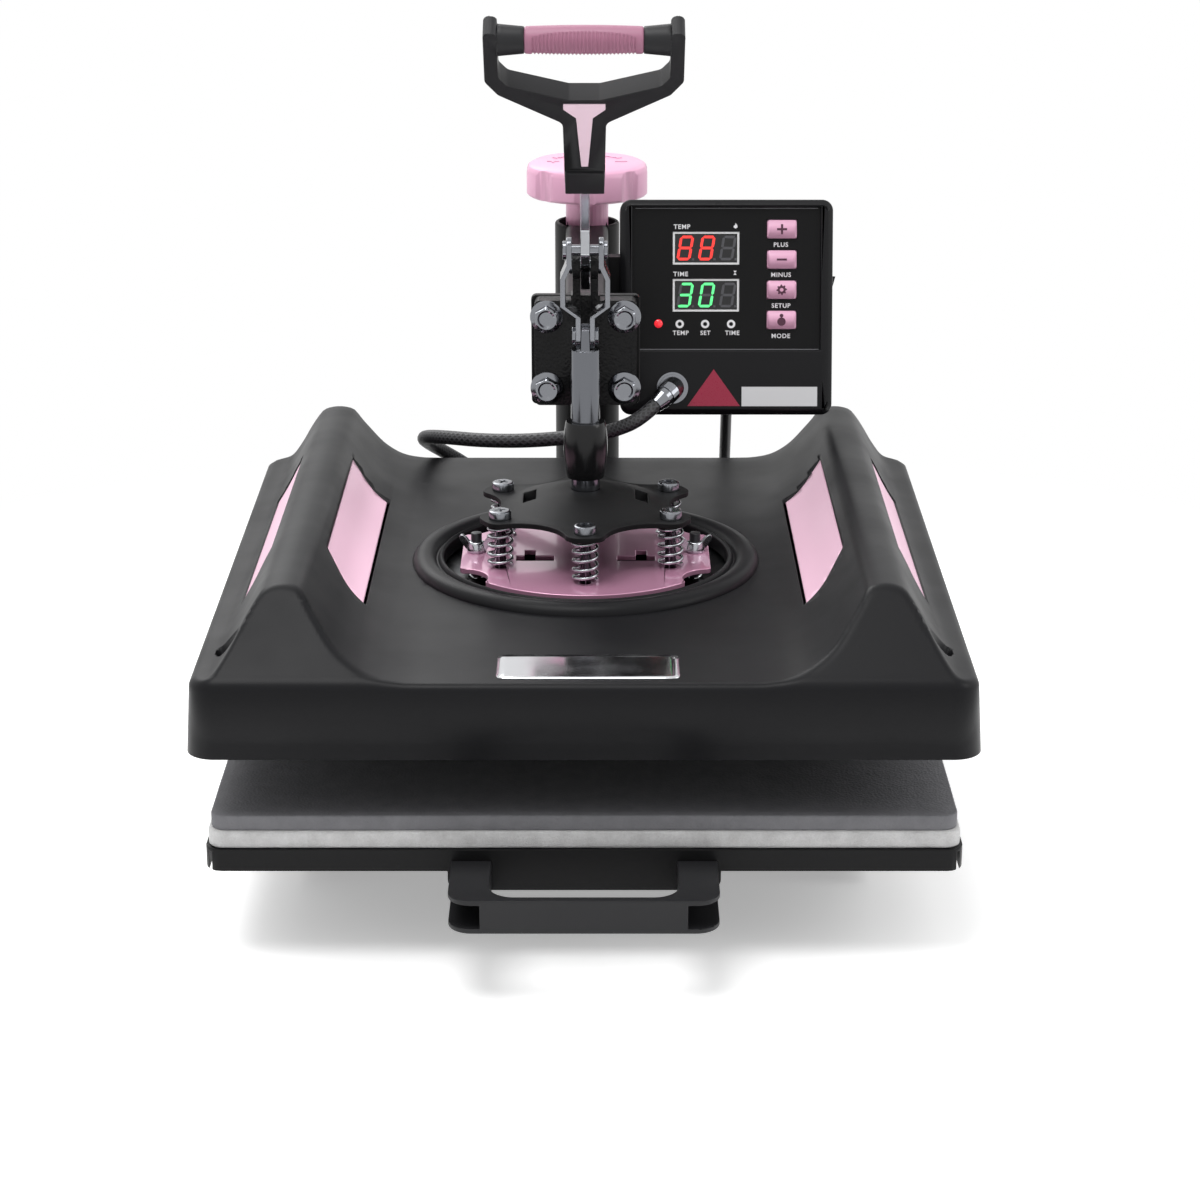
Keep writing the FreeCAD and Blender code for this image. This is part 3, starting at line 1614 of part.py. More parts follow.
# The head, from the heated face upwards: platen, heating element, insulation board and
# floor plate, under a moulded cover with a ridge along each side.
closed_gap = size("closed_gap", 0.6)
platen_thickness = size("platen_thickness", 12.0)
platen_corner = size("platen_corner", 8.0)
element_radius = size("element_radius", 4.0)
element_pitch = size("element_pitch", 100.0)
element_end_inset = size("element_end_inset", 25.0)
insulation_inset = size("insulation_inset", 5.0)
insulation_thickness = size("insulation_thickness", 11.0)
floor_edge_gap = size("floor_edge_gap", 5.0)
floor_sheet = size("floor_sheet", 2.5)

platen_face = pad_top + closed_gap + stroke
platen_top = platen_face + platen_thickness
insulation_side = platen_side - 2 * insulation_inset
floor_side = cover_side - 2 * (cover_wall + floor_edge_gap)
insulation_low = platen_top + 2 * element_radius
floor_low = insulation_low + insulation_thickness
floor_top = floor_low + floor_sheet
mat("heating_platen", platen_side, platen_thickness, platen_face, platen_corner)


# The tubular element lies in four runs with wide returns on the platen's back.
element_z = platen_top + element_radius
element_far = head_y + platen_side / 2 - element_end_inset
element_near = head_y - platen_side / 2 + element_end_inset
element_points = []
for i in range(4):
    x = element_pitch * (i - 1.5)
    run = [(x, element_far), (x, element_near)]
    element_points += run if i % 2 == 0 else run[::-1]
element_path = [Vector(float(x), float(y), float(element_z)) for x, y in element_points]
element_radii = [float(element_pitch) * 0.45] * (len(element_path) - 2)
element_sides = 8
element_tube = tube_along(arc_path(element_path, element_radii), element_radius, element_sides)
node("heating_element", plain("element", element_tube))

# A temperature probe is clamped to the platen's middle.
probe_radius = size("probe_radius", 4.0)
probe_height = size("probe_height", 7.5)
node("temperature_probe", rod("probe", (0.0, head_y, platen_top), probe_radius, probe_height))

# Screw and stud places on the floor plate.
screw_hole = size("screw_hole", 2.0)
floor_screw_x = size("floor_screw_x", 61.0)
floor_screw_y = size("floor_screw_y", 12.0)
floor_screw_head = size("floor_screw_head", 4.5)
floor_screw_rise = size("floor_screw_rise", 2.2)
stud_x = size("stud_x", 61.0)
stud_radius = size("stud_radius", 3.0)
stud_shoulder = size("stud_shoulder", 6.0)
stud_top = size("stud_top", 11.0)
spring_plate_rise = size("spring_plate_rise", 44.4)
spring_plate_thickness = size("spring_plate_thickness", 3.0)

spring_plate_top = platen_face + spring_plate_rise
spring_plate_low = spring_plate_top - spring_plate_thickness
screw_places = [(x * floor_screw_x, y * floor_screw_y) for x in (-1.0, 1.0) for y in (-1.0, 1.0)]


def board_layer(name, side, low, thickness):
    made = body(name, (0.0, head_y, low))
    outline = draw_rectangle(sketch(made, "XY_Plane"), -side / 2, -side / 2, side / 2, side / 2)
    block = pad(made, outline, thickness)
    soften(made, block, platen_corner, lambda edge: runs_along(edge, "z"))
    holes = sketch(made, "XY_Plane")
    for spot in screw_places:
        draw_circle(holes, spot, screw_hole)
    pocket(made, holes, side="Symmetric")
    return made


node("insulation_board", board_layer("insulation", insulation_side, insulation_low, insulation_thickness))
floor_sheet_body = board_layer("floor", floor_side, floor_low, floor_sheet)
right_stud = fuse(
    "right_stud",
    rod("stud_shoulder", (stud_x, head_y, floor_top), stud_shoulder, spring_plate_low - floor_top),
    rod("stud_thread", (stud_x, head_y, floor_top), stud_radius, spring_plate_top + stud_top - floor_top),
)
node("floor_plate", fuse("floor_with_studs", floor_sheet_body, right_stud, mirrored(right_stud)))
floor_screws = []
for i, (x, y) in enumerate(screw_places):
    floor_screws.append(
        fuse(
            f"floor_screw_{i}",
            rod(f"floor_screw_{i}_shank", (x, head_y + y, platen_top), screw_hole, floor_top - platen_top),
            rod(f"floor_screw_{i}_head", (x, head_y + y, floor_top), floor_screw_head, floor_screw_rise),
        )
    )
node("floor_screws", group("floor_screw_set", *floor_screws))

# The spring plate is a disc with flat sides and four bites, slotted, on the studs.
spring_plate_radius = size("spring_plate_radius", 76.0)
spring_plate_half = size("spring_plate_half", 69.0)
bite_x = size("bite_x", 68.0)
bite_y = size("bite_y", 46.0)
bite_radius = size("bite_radius", 15.0)
bite_round = size("bite_round", 3.0)
spring_circle = size("spring_circle", 54.0)
spring_count = 6
shank_radius = size("shank_radius", 3.2)
slot_near_x = size("slot_near_x", 17.6)
slot_far_x = size("slot_far_x", 38.5)
slot_front = size("slot_front", -16.6)
slot_rear = size("slot_rear", -7.6)
notch_near_x = size("notch_near_x", 28.0)
notch_far_x = size("notch_far_x", 34.0)
notch_rear = size("notch_rear", 2.1)

spring_angles = [math.radians(90 + 360 * i / spring_count) for i in range(spring_count)]
spring_spots = [(spring_circle * math.cos(a), spring_circle * math.sin(a)) for a in spring_angles]
spring_plate = body("spring_plate_body", (0.0, head_y, spring_plate_low))
disc = pad(
    spring_plate,
    draw_circle(sketch(spring_plate, "XY_Plane"), (0.0, 0.0), spring_plate_radius),
    spring_plate_thickness,
)
bites = sketch(spring_plate, "XY_Plane")
for x, y in ((-1.0, -1.0), (-1.0, 1.0), (1.0, -1.0), (1.0, 1.0)):
    draw_circle(bites, (x * bite_x, y * bite_y), bite_radius)
bite_cut = pocket(spring_plate, bites, side="Symmetric")
sides = sketch(spring_plate, "XY_Plane")
for sign in (-1.0, 1.0):
    draw_rectangle(
        sides,
        sign * spring_plate_half,
        -spring_plate_radius,
        sign * (spring_plate_radius + spring_plate_thickness),
        spring_plate_radius,
    )
side_cut = pocket(spring_plate, sides, side="Symmetric")
soften(spring_plate, side_cut, bite_round, lambda edge: runs_along(edge, "z"))
slots = sketch(spring_plate, "XY_Plane")
for sign in (-1.0, 1.0):
    draw_polygon(
        slots,
        [
            (sign * slot_near_x, slot_front),
            (sign * slot_far_x, slot_front),
            (sign * slot_far_x, slot_rear),
            (sign * notch_far_x, slot_rear),
            (sign * notch_far_x, notch_rear),
            (sign * notch_near_x, notch_rear),
            (sign * notch_near_x, slot_rear),
            (sign * slot_near_x, slot_rear),
        ],
    )
    draw_circle(slots, (sign * stud_x, 0.0), stud_radius + slide_gap / 2)
for spot in spring_spots:
    draw_circle(slots, spot, shank_radius)
pocket(spring_plate, slots, side="Symmetric")
node("spring_plate", spring_plate)

# Wing nuts clamp the spring plate to the studs, so that heads can be changed.
wing_hub = size("wing_hub", 5.5)
wing_hub_height = size("wing_hub_height", 6.0)
wing_span = size("wing_span", 19.5)
wing_height = size("wing_height", 9.5)
wing_thickness = size("wing_thickness", 2.2)
wing = body("wing", (stud_x, head_y, spring_plate_top))
wing_half = wing_span / 2
wing_right = [
    (wing_hub - 1.5, 1.0),
    (wing_half, wing_height * 0.45),
    (wing_half, wing_height - 1.0),
    (wing_half - 1.5, wing_height),
    (wing_half - 4.0, wing_height - 1.0),
    (wing_hub - 2.0, wing_hub_height - 1.0),
]
draw = sketch(wing, "XZ_Plane")
draw_polygon(draw, wing_right + [(-x, z) for x, z in reversed(wing_right)])
pad(wing, draw, wing_thickness, side="Symmetric")
wing_nut = cut(
    "wing_nut",
    fuse(
        "wing_nut_body",
        wing,
        cone("wing_hub", (stud_x, head_y, spring_plate_top), wing_hub, wing_hub - 1.0, wing_hub_height),
    ),
    rod("wing_bore", (stud_x, head_y, spring_plate_top), stud_radius, wing_height),
)
node("wing_nuts", group("wing_nut_pair", wing_nut, mirrored(wing_nut)))

# The spider plate is pressed, with a dome, six lobes and scallops between them. It is
# pinned to the end of the plunger rod.
spring_space = size("spring_space", 25.0)
spider_thickness = size("spider_thickness", 3.0)
spider_radius = size("spider_radius", 64.0)
spider_scallop = size("spider_scallop", 27.0)
spider_scallop_at = size("spider_scallop_at", 74.0)
spider_round = size("spider_round", 8.0)
dome_radius = size("dome_radius", 45.0)
dome_height = size("dome_height", 9.0)
shank_space = size("shank_space", 0.9)
dome_slot_radius = size("dome_slot_radius", 31.0)
dome_slot_width = size("dome_slot_width", 7.0)
dome_slot_length = size("dome_slot_length", 18.0)

spider_low = spring_plate_top + spring_space
spider_top = spider_low + spider_thickness
spider = body("spider", (0.0, head_y, spider_low))
spider_outline = draw_circle(sketch(spider, "XY_Plane"), (0.0, 0.0), spider_radius)
spider_disc = pad(spider, spider_outline, spider_thickness)
gap_angle = math.radians(90 + 180 / spring_count)
first_scallop = draw_circle(
    sketch(spider, "XY_Plane", spider_thickness),
    (spider_scallop_at * math.cos(gap_angle), spider_scallop_at * math.sin(gap_angle)),
    spider_scallop,
)
scallop_pocket = pocket(spider, first_scallop, spider_thickness + 1.0)
scallop_ring = repeat_round(spider, scallop_pocket, spring_count)
soften(spider, scallop_ring, spider_round, lambda edge: runs_along(edge, "z"))
dome = [
    (0.0, spider_thickness / 2),
    (dome_radius, spider_thickness / 2),
    (dome_radius, spider_thickness),
    (dome_radius * 0.6, spider_thickness + dome_height * 0.7),
    (dome_radius * 0.35, spider_thickness + dome_height),
    (0.0, spider_thickness + dome_height),
]
revolve(spider, dome)
dome_slots = sketch(spider, "XY_Plane", spider_thickness + dome_height)
for sign in (-1.0, 1.0):
    draw_rectangle(
        dome_slots,
        sign * (dome_slot_radius - dome_slot_width / 2),
        -dome_slot_length / 2,
        sign * (dome_slot_radius + dome_slot_width / 2),
        dome_slot_length / 2,
    )
pocket(spider, dome_slots, dome_height + spider_thickness / 2)
spider_holes = sketch(spider, "XY_Plane")
draw_circle(spider_holes, (0.0, 0.0), rod_radius)
for spot in spring_spots:
    draw_circle(spider_holes, spot, shank_radius + shank_space)
pocket(spider, spider_holes, side="Symmetric")
node("spider_plate", spider)

# The plunger rod ends in a cup-shaped shoulder with a flat tongue for the links' pin.
shoulder_drop = size("shoulder_drop", 7.3)
tongue_half = size("tongue_half", 2.35)
rod_length = pin_z - shoulder_drop - spider_low
plunger = fuse(
    "plunger",
    rod("plunger_bar", (0.0, head_y, spider_low), rod_radius, rod_length),
    box(
        "tongue_block",
        (-tongue_half, head_y - link_half_width, pin_z - shoulder_drop),
        (tongue_half * 2, link_half_width * 2, shoulder_drop),
    ),
    rod("tongue_round", (-tongue_half, head_y, pin_z), link_half_width, tongue_half * 2, ALONG_X),
)
pin_hole = rod("tongue_hole", (-tongue_half, head_y, pin_z), link_pin_radius, tongue_half * 2, ALONG_X)
node("plunger_rod", cut("plunger_body", plunger, pin_hole))

# Six shoulder screws hold the head to the spider plate, each inside its spring.
screw_head_radius = size("screw_head_radius", 6.15)
screw_head_height = size("screw_head_height", 4.6)
shoulder_screws = []
for i, (x, y) in enumerate(spring_spots):
    at = (x, head_y + y, spring_plate_low)
    head_at = (x, head_y + y, spider_top)
    shoulder_screws.append(
        fuse(
            f"shoulder_screw_{i}",
            rod(f"shoulder_screw_{i}_shank", at, shank_radius, spider_top - spring_plate_low),
            rod(f"shoulder_screw_{i}_head", head_at, screw_head_radius, screw_head_height),
        )
    )
node("spring_screws", group("shoulder_screw_set", *shoulder_screws))

# Each pressure spring is one open coil of round wire between the two plates.
spring_outer = size("spring_outer", 15.0)
spring_wire = size("spring_wire", 1.5)
spring_turns = size("spring_turns", 5.0)
wire_sides = 6
spring_steps = 12
spring_seat = size("spring_seat", 0.25)


def winding_path(place_at, turns, straight, steps):
    """The line of a winding in short straight runs, with straight ends."""
    total = 2 * math.pi * turns
    count = round(turns * steps)
    spots = [place_at(total * i / count) for i in range(count + 1)]
    step = 0.02
    leaving = (place_at(step) - place_at(-step)).normalize()
    arriving = (place_at(total + step) - place_at(total - step)).normalize()
    lead_in = [spots[0] - leaving * straight]
    lead_out = [spots[-1] + arriving * straight]
    return Part.makePolygon(lead_in + spots + lead_out)


def least_gap(place_at, turns, thickness):
    """The least gap of a winding to itself, measured on points along it."""
    steps = 72
    count = int(turns * steps)
    spots = [place_at(2 * math.pi * i / steps) for i in range(count + 1)]
    near = [
        spots[i].distanceToPoint(spots[j])
        for i in range(count + 1)
        for j in range(i + steps // 2, count + 1)
    ]
    return min(near) - thickness


spring_mean = (spring_outer - spring_wire) / 2
spring_rise = (spring_space - spring_wire - 2 * spring_seat) / spring_turns


def spring_point(angle):
    return Vector(
        spring_mean * math.cos(angle),
        spring_mean * math.sin(angle),
        spring_rise * angle / (2 * math.pi),
    )


print(f"spring least gap {least_gap(spring_point, spring_turns, spring_wire):.2f} mm")
one_spring = tube_along(
    winding_path(spring_point, float(spring_turns), float(spring_wire), spring_steps),
    spring_wire / 2,
    wire_sides,
    corners=1,
)
springs = []
for x, y in spring_spots:
    moved = one_spring.copy()
    moved.translate(Vector(x, head_y + y, spring_plate_top + spring_seat + spring_wire / 2))
    springs.append(moved)
node("pressure_springs", plain("springs", Part.makeCompound(springs)))

# The cover is one moulding: a square box with rounded corners, a ridge along each side
# that fades to the front edge, a ring round the opening in its top, and a grip insert
# let into both slopes of each ridge.
cover_front_height = size("cover_front_height", 38.4)
cover_rear_height = size("cover_rear_height", 42.4)
cover_corner = size("cover_corner", 15.0)
cover_edge = size("cover_edge", 6.0)
ridge_start = size("ridge_start", 150.0)
ridge_crest_in = size("ridge_crest_in", 47.0)
ring_outer = size("ring_outer", 96.0)
ring_inner = size("ring_inner", 79.0)
ring_rise = size("ring_rise", 4.0)
grip_low = size("grip_low", 45.4)
grip_high = size("grip_high", 66.4)
grip_front = size("grip_front", 95.0)
grip_rear = size("grip_rear", 89.0)
grip_slant = size("grip_slant", 35.0)

# The ridge's section, from its inner foot over the crest to the outer edge: distance in
# from the cover's side and height above the platen's face.
ridge_outline = [
    (95.0, 41.0),
    (84.5, 45.4),
    (74.0, 52.4),
    (64.0, 63.4),
    (56.0, 73.4),
    (51.5, 75.1),
    (47.0, 75.6),
    (42.0, 75.1),
    (37.0, 73.4),
    (31.0, 63.4),
    (27.0, 55.9),
    (23.0, 46.4),
    (16.0, 40.4),
    (5.0, 34.4),
]
ridge_shoulder = 12.0


def ridge_wire(at_y, inset, share):
    """The ridge's outline on one plane; share is how much of its height is left."""
    foot = ridge_outline[-1][1]
    spots = []
    for inward, rise in ridge_outline:
        lean = max(-1.0, min(1.0, (ridge_crest_in - inward) / ridge_shoulder))
        high = foot + (rise - foot) * share - inset
        across = cover_half - inward - inset * 0.8 * lean
        spots.append(Vector(float(across), float(at_y), platen_face + high))
    low = Vector(0, 0, -16.0)
    spots += [spots[-1] + low, spots[0] + low]
    return Part.makePolygon(spots + spots[:1])


def round_square(half, corner, low, high):
    """An upright square block with rounded corners, centred below the head."""
    block = Part.makeBox(2 * half, 2 * half, high - low, Vector(-half, head_y - half, low))
    upright = [edge for edge in block.Edges if runs_along(edge, "z")]
    return block.makeFillet(float(corner), upright)


def rounded_bar(corners, radius, span):
    """A prism over an outline whose two top corners are rounded."""
    low_left, top_left, top_right, low_right = corners
    radii = [float(radius)] * 2
    path = arc_path([low_left, top_left, top_right, low_right], radii)
    base = Part.LineSegment(low_right, low_left).toShape()
    return Part.Face(Part.Wire(path.Edges + [base])).extrude(span)


def cover_solid(inset, low):
    """The cover's outside, or with an inset the space inside its wall."""
    half = float(cover_half - inset)
    front = head_y - half
    rear = head_y + half
    front_top = platen_face + cover_front_height - inset
    rear_top = platen_face + cover_rear_height - inset
    block = round_square(half, cover_corner - inset, low, rear_top)
    side_view = rounded_bar(
        [
            Vector(-half, front, low),
            Vector(-half, front, front_top),
            Vector(-half, rear, rear_top),
            Vector(-half, rear, low),
        ],
        cover_edge - inset / 2,
        Vector(2 * half, 0, 0),
    )
    edge_top = rear_top
    front_view = rounded_bar(
        [
            Vector(-half, front, low),
            Vector(-half, front, edge_top),
            Vector(half, front, edge_top),
            Vector(half, front, low),
        ],
        cover_edge - inset / 2,
        Vector(0, 2 * half, 0),
    )
    shape = block.common(side_view).common(front_view)
    crest = head_y - ridge_start + inset
    nose = front + 2.0
    long_ridge = Part.makeLoft([ridge_wire(rear, inset, 1.0), ridge_wire(crest, inset, 1.0)], True, True)
    fading = Part.makeLoft([ridge_wire(crest, inset, 1.0), ridge_wire(nose, inset, 0.06)], True, True)
    ridge = long_ridge.fuse(fading)
    ridge_limit = round_square(half, cover_corner - inset, low, platen_face + 100.0)
    right = ridge.common(ridge_limit)
    left = right.mirror(Vector(0, 0, 0), Vector(1, 0, 0))
    return shape.fuse(right).fuse(left)


cover_outside = cover_solid(0.0, float(platen_face))
cover_inside = cover_solid(float(cover_wall), float(platen_face) - 1.0)
ring_top = platen_face + cover_rear_height + ring_rise - 1.0
ring_low = float(floor_top)
ring_hole = Part.makeCylinder(
    ring_outer - 2.0, 60.0, Vector(0, head_y, ring_low), Vector(0, 0, 1)
)
ring_section = [
    (ring_inner, ring_low),
    (ring_inner, ring_top - 1.5),
    (ring_inner + 2.0, ring_top),
    (ring_inner + 4.5, ring_top),
    (ring_inner + 6.0, ring_top - 3.0),
    (ring_outer - 5.5, ring_top - 3.0),
    (ring_outer - 4.0, ring_top),
    (ring_outer - 1.5, ring_top - 0.6),
    (ring_outer, ring_top - 3.0),
    (ring_outer, ring_top - 10.0),
    (ring_outer - 3.0, ring_top - 10.0),
    (ring_inner + 3.0, ring_top - 7.0),
    (ring_inner + 3.0, ring_low),
]
ring_rim = [Vector(float(x), 0, float(z)) for x, z in ring_section]
ring_face = Part.Face(Part.makePolygon(ring_rim + ring_rim[:1]))
ring_solid = ring_face.revolve(Vector(0, 0, 0), Vector(0, 0, 1), 360)
ring_solid.translate(Vector(0, head_y, 0))


def grip_space(low, high):
    """The slanted opening for a grip insert, right through a ridge."""
    outline = [
        (-grip_front, low),
        (grip_rear, low),
        (grip_rear + grip_slant - 11.0, high),
        (grip_slant - grip_front, high),
    ]
    inner_x = float(cover_half - ridge_outline[0][0])
    rim = [Vector(inner_x, head_y + y, platen_face + z) for y, z in outline]
    outer_x = float(cover_half - ridge_outline[-1][0])
    return Part.Face(Part.makePolygon(rim + rim[:1])).extrude(Vector(outer_x - inner_x, 0, 0))


grip_right = grip_space(grip_low, grip_high)
grip_both = grip_right.fuse(grip_right.mirror(Vector(0, 0, 0), Vector(1, 0, 0)))
cover_shell = cover_outside.cut(cover_inside)
cover_skin = cover_shell.cut(ring_hole).fuse(ring_solid)
node("platen_cover", plain("cover", cover_skin.cut(grip_both).removeSplitter()))
node("grip_inserts", plain("grips", cover_shell.common(grip_both)))


def cord_path(name, points, diameter):
    """A cord's route: each bend is as wide as its two runs allow."""
    radii = []
    for before, corner, after in zip(points, points[1:], points[2:]):
        turn = (corner - before).getAngle(after - corner)
        shorter = min(before.distanceToPoint(corner), corner.distanceToPoint(after))
        radii.append(0.45 * shorter / math.tan(turn / 2))
    path = arc_path(points, radii)
    print(f"{name}: length {path.Length:.0f} mm, least bend radius {min(radii):.0f} mm of {diameter:.1f}")
    print("   radii " + " ".join(f"{radius:.0f}" for radius in radii))
    return path


# The braided platen cable hangs from the box's plug in a wide loop behind the plunger
# and goes down behind the cover into an elbow boot on its rear wall.
boot_x = size("boot_x", -53.3)
boot_rise = size("boot_rise", 16.2)
boot_radius = size("boot_radius", 6.5)
boot_reach = size("boot_reach", 11.6)
boot_sleeve = size("boot_sleeve", 17.0)
boot_lean = size("boot_lean", 54.0)
boot_mitre = size("boot_mitre", 4.0)

cover_rear = head_y + cover_half
boot_z = platen_face + boot_rise
boot_at = (boot_x, cover_rear + boot_reach, boot_z)
boot_turn = Rotation(Vector(0, -1, 0), float(boot_lean))
boot_way = boot_turn.multVec(Vector(0, 0, 1))
boot_bend_end = tuple(Vector(*boot_at) + boot_way * float(boot_mitre + elbow_lead))
node(
    "cable_boot",
    fuse(
        "boot_parts",
        rod("boot_flange", (boot_x, cover_rear, boot_z), boot_radius + 2.5, flange_thickness, ALONG_Y),
        elbow("boot_bend", (boot_x, cover_rear, boot_z), boot_at, boot_bend_end, boot_mitre, boot_radius),
        cone(
            "boot_sleeve",
            boot_bend_end,
            boot_radius - 0.3,
            cable_radius + 0.4,
            boot_sleeve - boot_mitre - elbow_lead,
            boot_turn,
        ),
    ),
)
cable_run = 14.0
boot_end = Vector(*boot_at) + boot_way * float(boot_sleeve)
platen_cable_points = [
    Vector(*down_the_plug(plug_body + plug_tail)),
    Vector(*down_the_plug(plug_body + plug_tail + cable_run)),
    Vector(18.3, 71.7, 204.0),
    Vector(3.9, 73.7, 200.1),
    Vector(-15.2, 83.4, 195.1),
    Vector(-39.0, 98.9, 189.1),
    Vector(-64.2, 117.9, 184.1),
    Vector(-82.8, 132.9, 181.6),
    Vector(-93.6, 142.3, 179.6),
    Vector(-99.7, 153.9, 176.1),
    Vector(-101.1, 166.8, 170.8),
    Vector(-97.3, 178.5, 164.3),
    Vector(-89.2, 187.2, 156.8),
    boot_end + boot_way * cable_run,
    boot_end,
]
node(
    "platen_cable",
    plain(
        "platen_cable_tube",
        tube_along(cord_path("platen cable", platen_cable_points, 2 * cable_radius), cable_radius),
    ),
)

# The mains lead leaves the gland, hangs behind the arm and reaches the table behind the
# stand, where the rest of it is put away as a tied coil.
cord_diameter = size("cord_diameter", 7.0)
coil_x = size("coil_x", 29.0)
coil_y = size("coil_y", 330.9)
coil_radius = size("coil_radius", 46.0)
coil_step = size("coil_step", 7.6)
coil_low = size("coil_low", 5.2)
coil_turns = 4.5

cord_radius = cord_diameter / 2
coil_straight = cord_diameter
gland_end = on_box(gland_x, box_depth + gland_length, gland_z)
gland_after = on_box(gland_x, box_depth + gland_length + 16.0, gland_z)
coil_front = coil_y - coil_radius
mains_points = [
    Vector(*gland_end),
    Vector(*gland_after),
    Vector(86.8, 206.3, 198.2),
    Vector(88.2, 216.0, 184.2),
    Vector(88.2, 224.2, 157.5),
    Vector(87.9, 240.4, 110.4),
    Vector(87.1, 262.5, 64.0),
    Vector(86.4, 272.9, 36.9),
    Vector(79.8, 278.5, 22.3),
    Vector(67.7, 282.7, 11.2),
    Vector(coil_x + coil_straight + 16.0, coil_front, coil_low),
    Vector(coil_x + coil_straight, coil_front, coil_low),
]
node(
    "mains_cord",
    plain(
        "mains_cord_tube",
        tube_along(cord_path("mains cord", mains_points, cord_diameter), cord_radius),
    ),
)


def coil_point(angle):
    """The coil's line: it spirals in, climbs a layer where it turns, and spirals out."""
    total = 2 * math.pi * coil_turns
    inward = min(angle, total - angle)
    radius = coil_radius - coil_step * inward / (2 * math.pi)
    climb = min(1.0, max(0.0, (angle - total / 2) / math.pi + 0.5))
    layer = (1 - math.cos(math.pi * climb)) / 2
    heading = -math.pi / 2 - angle
    return Vector(
        coil_x + radius * math.cos(heading),
        coil_y + radius * math.sin(heading),
        coil_low + coil_step * layer,
    )


coil_sides = 8
coil_steps = 16
coil_path = winding_path(coil_point, coil_turns, float(coil_straight), coil_steps)
coil_gap = least_gap(coil_point, coil_turns, cord_diameter)
print(f"coil length {coil_path.Length:.0f} mm, least gap {coil_gap:.2f} mm")
node("mains_coil", plain("coil", tube_along(coil_path, cord_radius, coil_sides, corners=1)))

# The plug lies behind the coil: a moulded body with two blades and an earth pin.
plug_width = size("plug_width", 24.0)
plug_height = size("plug_height", 22.0)
plug_length = size("plug_length", 34.0)
plug_relief = size("plug_relief", 20.0)
blade_length = size("blade_length", 17.0)

coil_end = coil_path.OrderedVertexes[-1].Point
plug_start_x = coil_end.x + plug_relief
mains_plug_body = body("mains_plug_body", (plug_start_x, coil_end.y, coil_end.z))
half_plug = (plug_width / 2, plug_height / 2)
plug_outline = draw_rectangle(sketch(mains_plug_body, "YZ_Plane"), -half_plug[0], -half_plug[1], *half_plug)
plug_block = pad(mains_plug_body, plug_outline, plug_length)
soften(mains_plug_body, plug_block, 4.0, lambda edge: runs_along(edge, "x"))
blade_x = plug_start_x + plug_length
blades = [
    box(f"blade_{i}", (blade_x, coil_end.y + y, coil_end.z - 1.0), (blade_length, 1.5, 6.3))
    for i, y in enumerate((-7.1, 5.6))
]
earth_pin = rod("earth_pin", (blade_x, coil_end.y, coil_end.z - 7.0), 2.4, blade_length + 3.0, ALONG_X)
relief = cone(
    "plug_relief",
    (coil_end.x, coil_end.y, coil_end.z),
    cord_radius + 0.8,
    cord_radius + 3.0,
    plug_relief,
    ALONG_X,
)
node("mains_plug", fuse("mains_plug_parts", mains_plug_body, relief, earth_pin, *blades))

# A strap tie goes round all the coil's turns.
tie_wall = size("tie_wall", 1.0)
tie_width = size("tie_width", 10.0)
tie_slack = size("tie_slack", 0.8)
inner_turn = coil_radius - coil_step * coil_turns / 2
tie_left = coil_x - coil_radius - cord_radius - tie_slack
tie_span = coil_radius - inner_turn + cord_diameter + 2 * tie_slack
tie_low = coil_low - cord_radius - 0.3
tie_rise = coil_step + cord_diameter + 0.6
tie_inside = box("tie_inside", (tie_left, coil_y - tie_width / 2, tie_low), (tie_span, tie_width, tie_rise))
tie_outside = box(
    "tie_outside",
    (tie_left - tie_wall, coil_y - tie_width / 2, tie_low - tie_wall),
    (tie_span + 2 * tie_wall, tie_width, tie_rise + 2 * tie_wall),
)
node("cord_tie", cut("tie", tie_outside, tie_inside))

doc.recompute()
for item in doc.Objects:
    if "Invalid" in item.State or "Error" in item.State:
        raise RuntimeError(f"{item.Label} did not compute")
os.makedirs("parts", exist_ok=True)
for name, item in nodes.items():
    if item.Shape.isNull() or not item.Shape.isValid():
        raise RuntimeError(f"{name} is not a sound shape")
for name, item in nodes.items():
    item.Shape.exportStep(f"parts/{name}.step")
print(f"{len(nodes)} sub-parts written")
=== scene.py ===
import json
import math
import random

import bmesh
import bpy
from mathutils import Matrix, Vector


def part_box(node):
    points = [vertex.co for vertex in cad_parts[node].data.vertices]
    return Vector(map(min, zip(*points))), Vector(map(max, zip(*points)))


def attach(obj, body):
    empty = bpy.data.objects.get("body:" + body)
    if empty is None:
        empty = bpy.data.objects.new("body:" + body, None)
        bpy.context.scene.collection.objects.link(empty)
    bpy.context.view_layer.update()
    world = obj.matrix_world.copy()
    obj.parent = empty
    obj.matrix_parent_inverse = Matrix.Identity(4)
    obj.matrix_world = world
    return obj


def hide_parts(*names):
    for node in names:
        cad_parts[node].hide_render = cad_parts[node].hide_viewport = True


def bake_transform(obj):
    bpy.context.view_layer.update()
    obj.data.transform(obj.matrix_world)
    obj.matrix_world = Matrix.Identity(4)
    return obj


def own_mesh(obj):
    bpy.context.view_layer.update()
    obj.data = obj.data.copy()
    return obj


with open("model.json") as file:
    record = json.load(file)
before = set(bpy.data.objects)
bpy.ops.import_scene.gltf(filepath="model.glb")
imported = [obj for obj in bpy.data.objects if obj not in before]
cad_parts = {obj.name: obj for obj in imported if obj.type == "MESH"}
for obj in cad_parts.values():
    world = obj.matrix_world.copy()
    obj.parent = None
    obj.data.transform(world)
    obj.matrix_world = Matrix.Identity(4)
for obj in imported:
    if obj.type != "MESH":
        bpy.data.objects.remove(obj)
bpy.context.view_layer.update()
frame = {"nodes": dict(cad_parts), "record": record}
nodes = frame["nodes"]
MM = 0.001

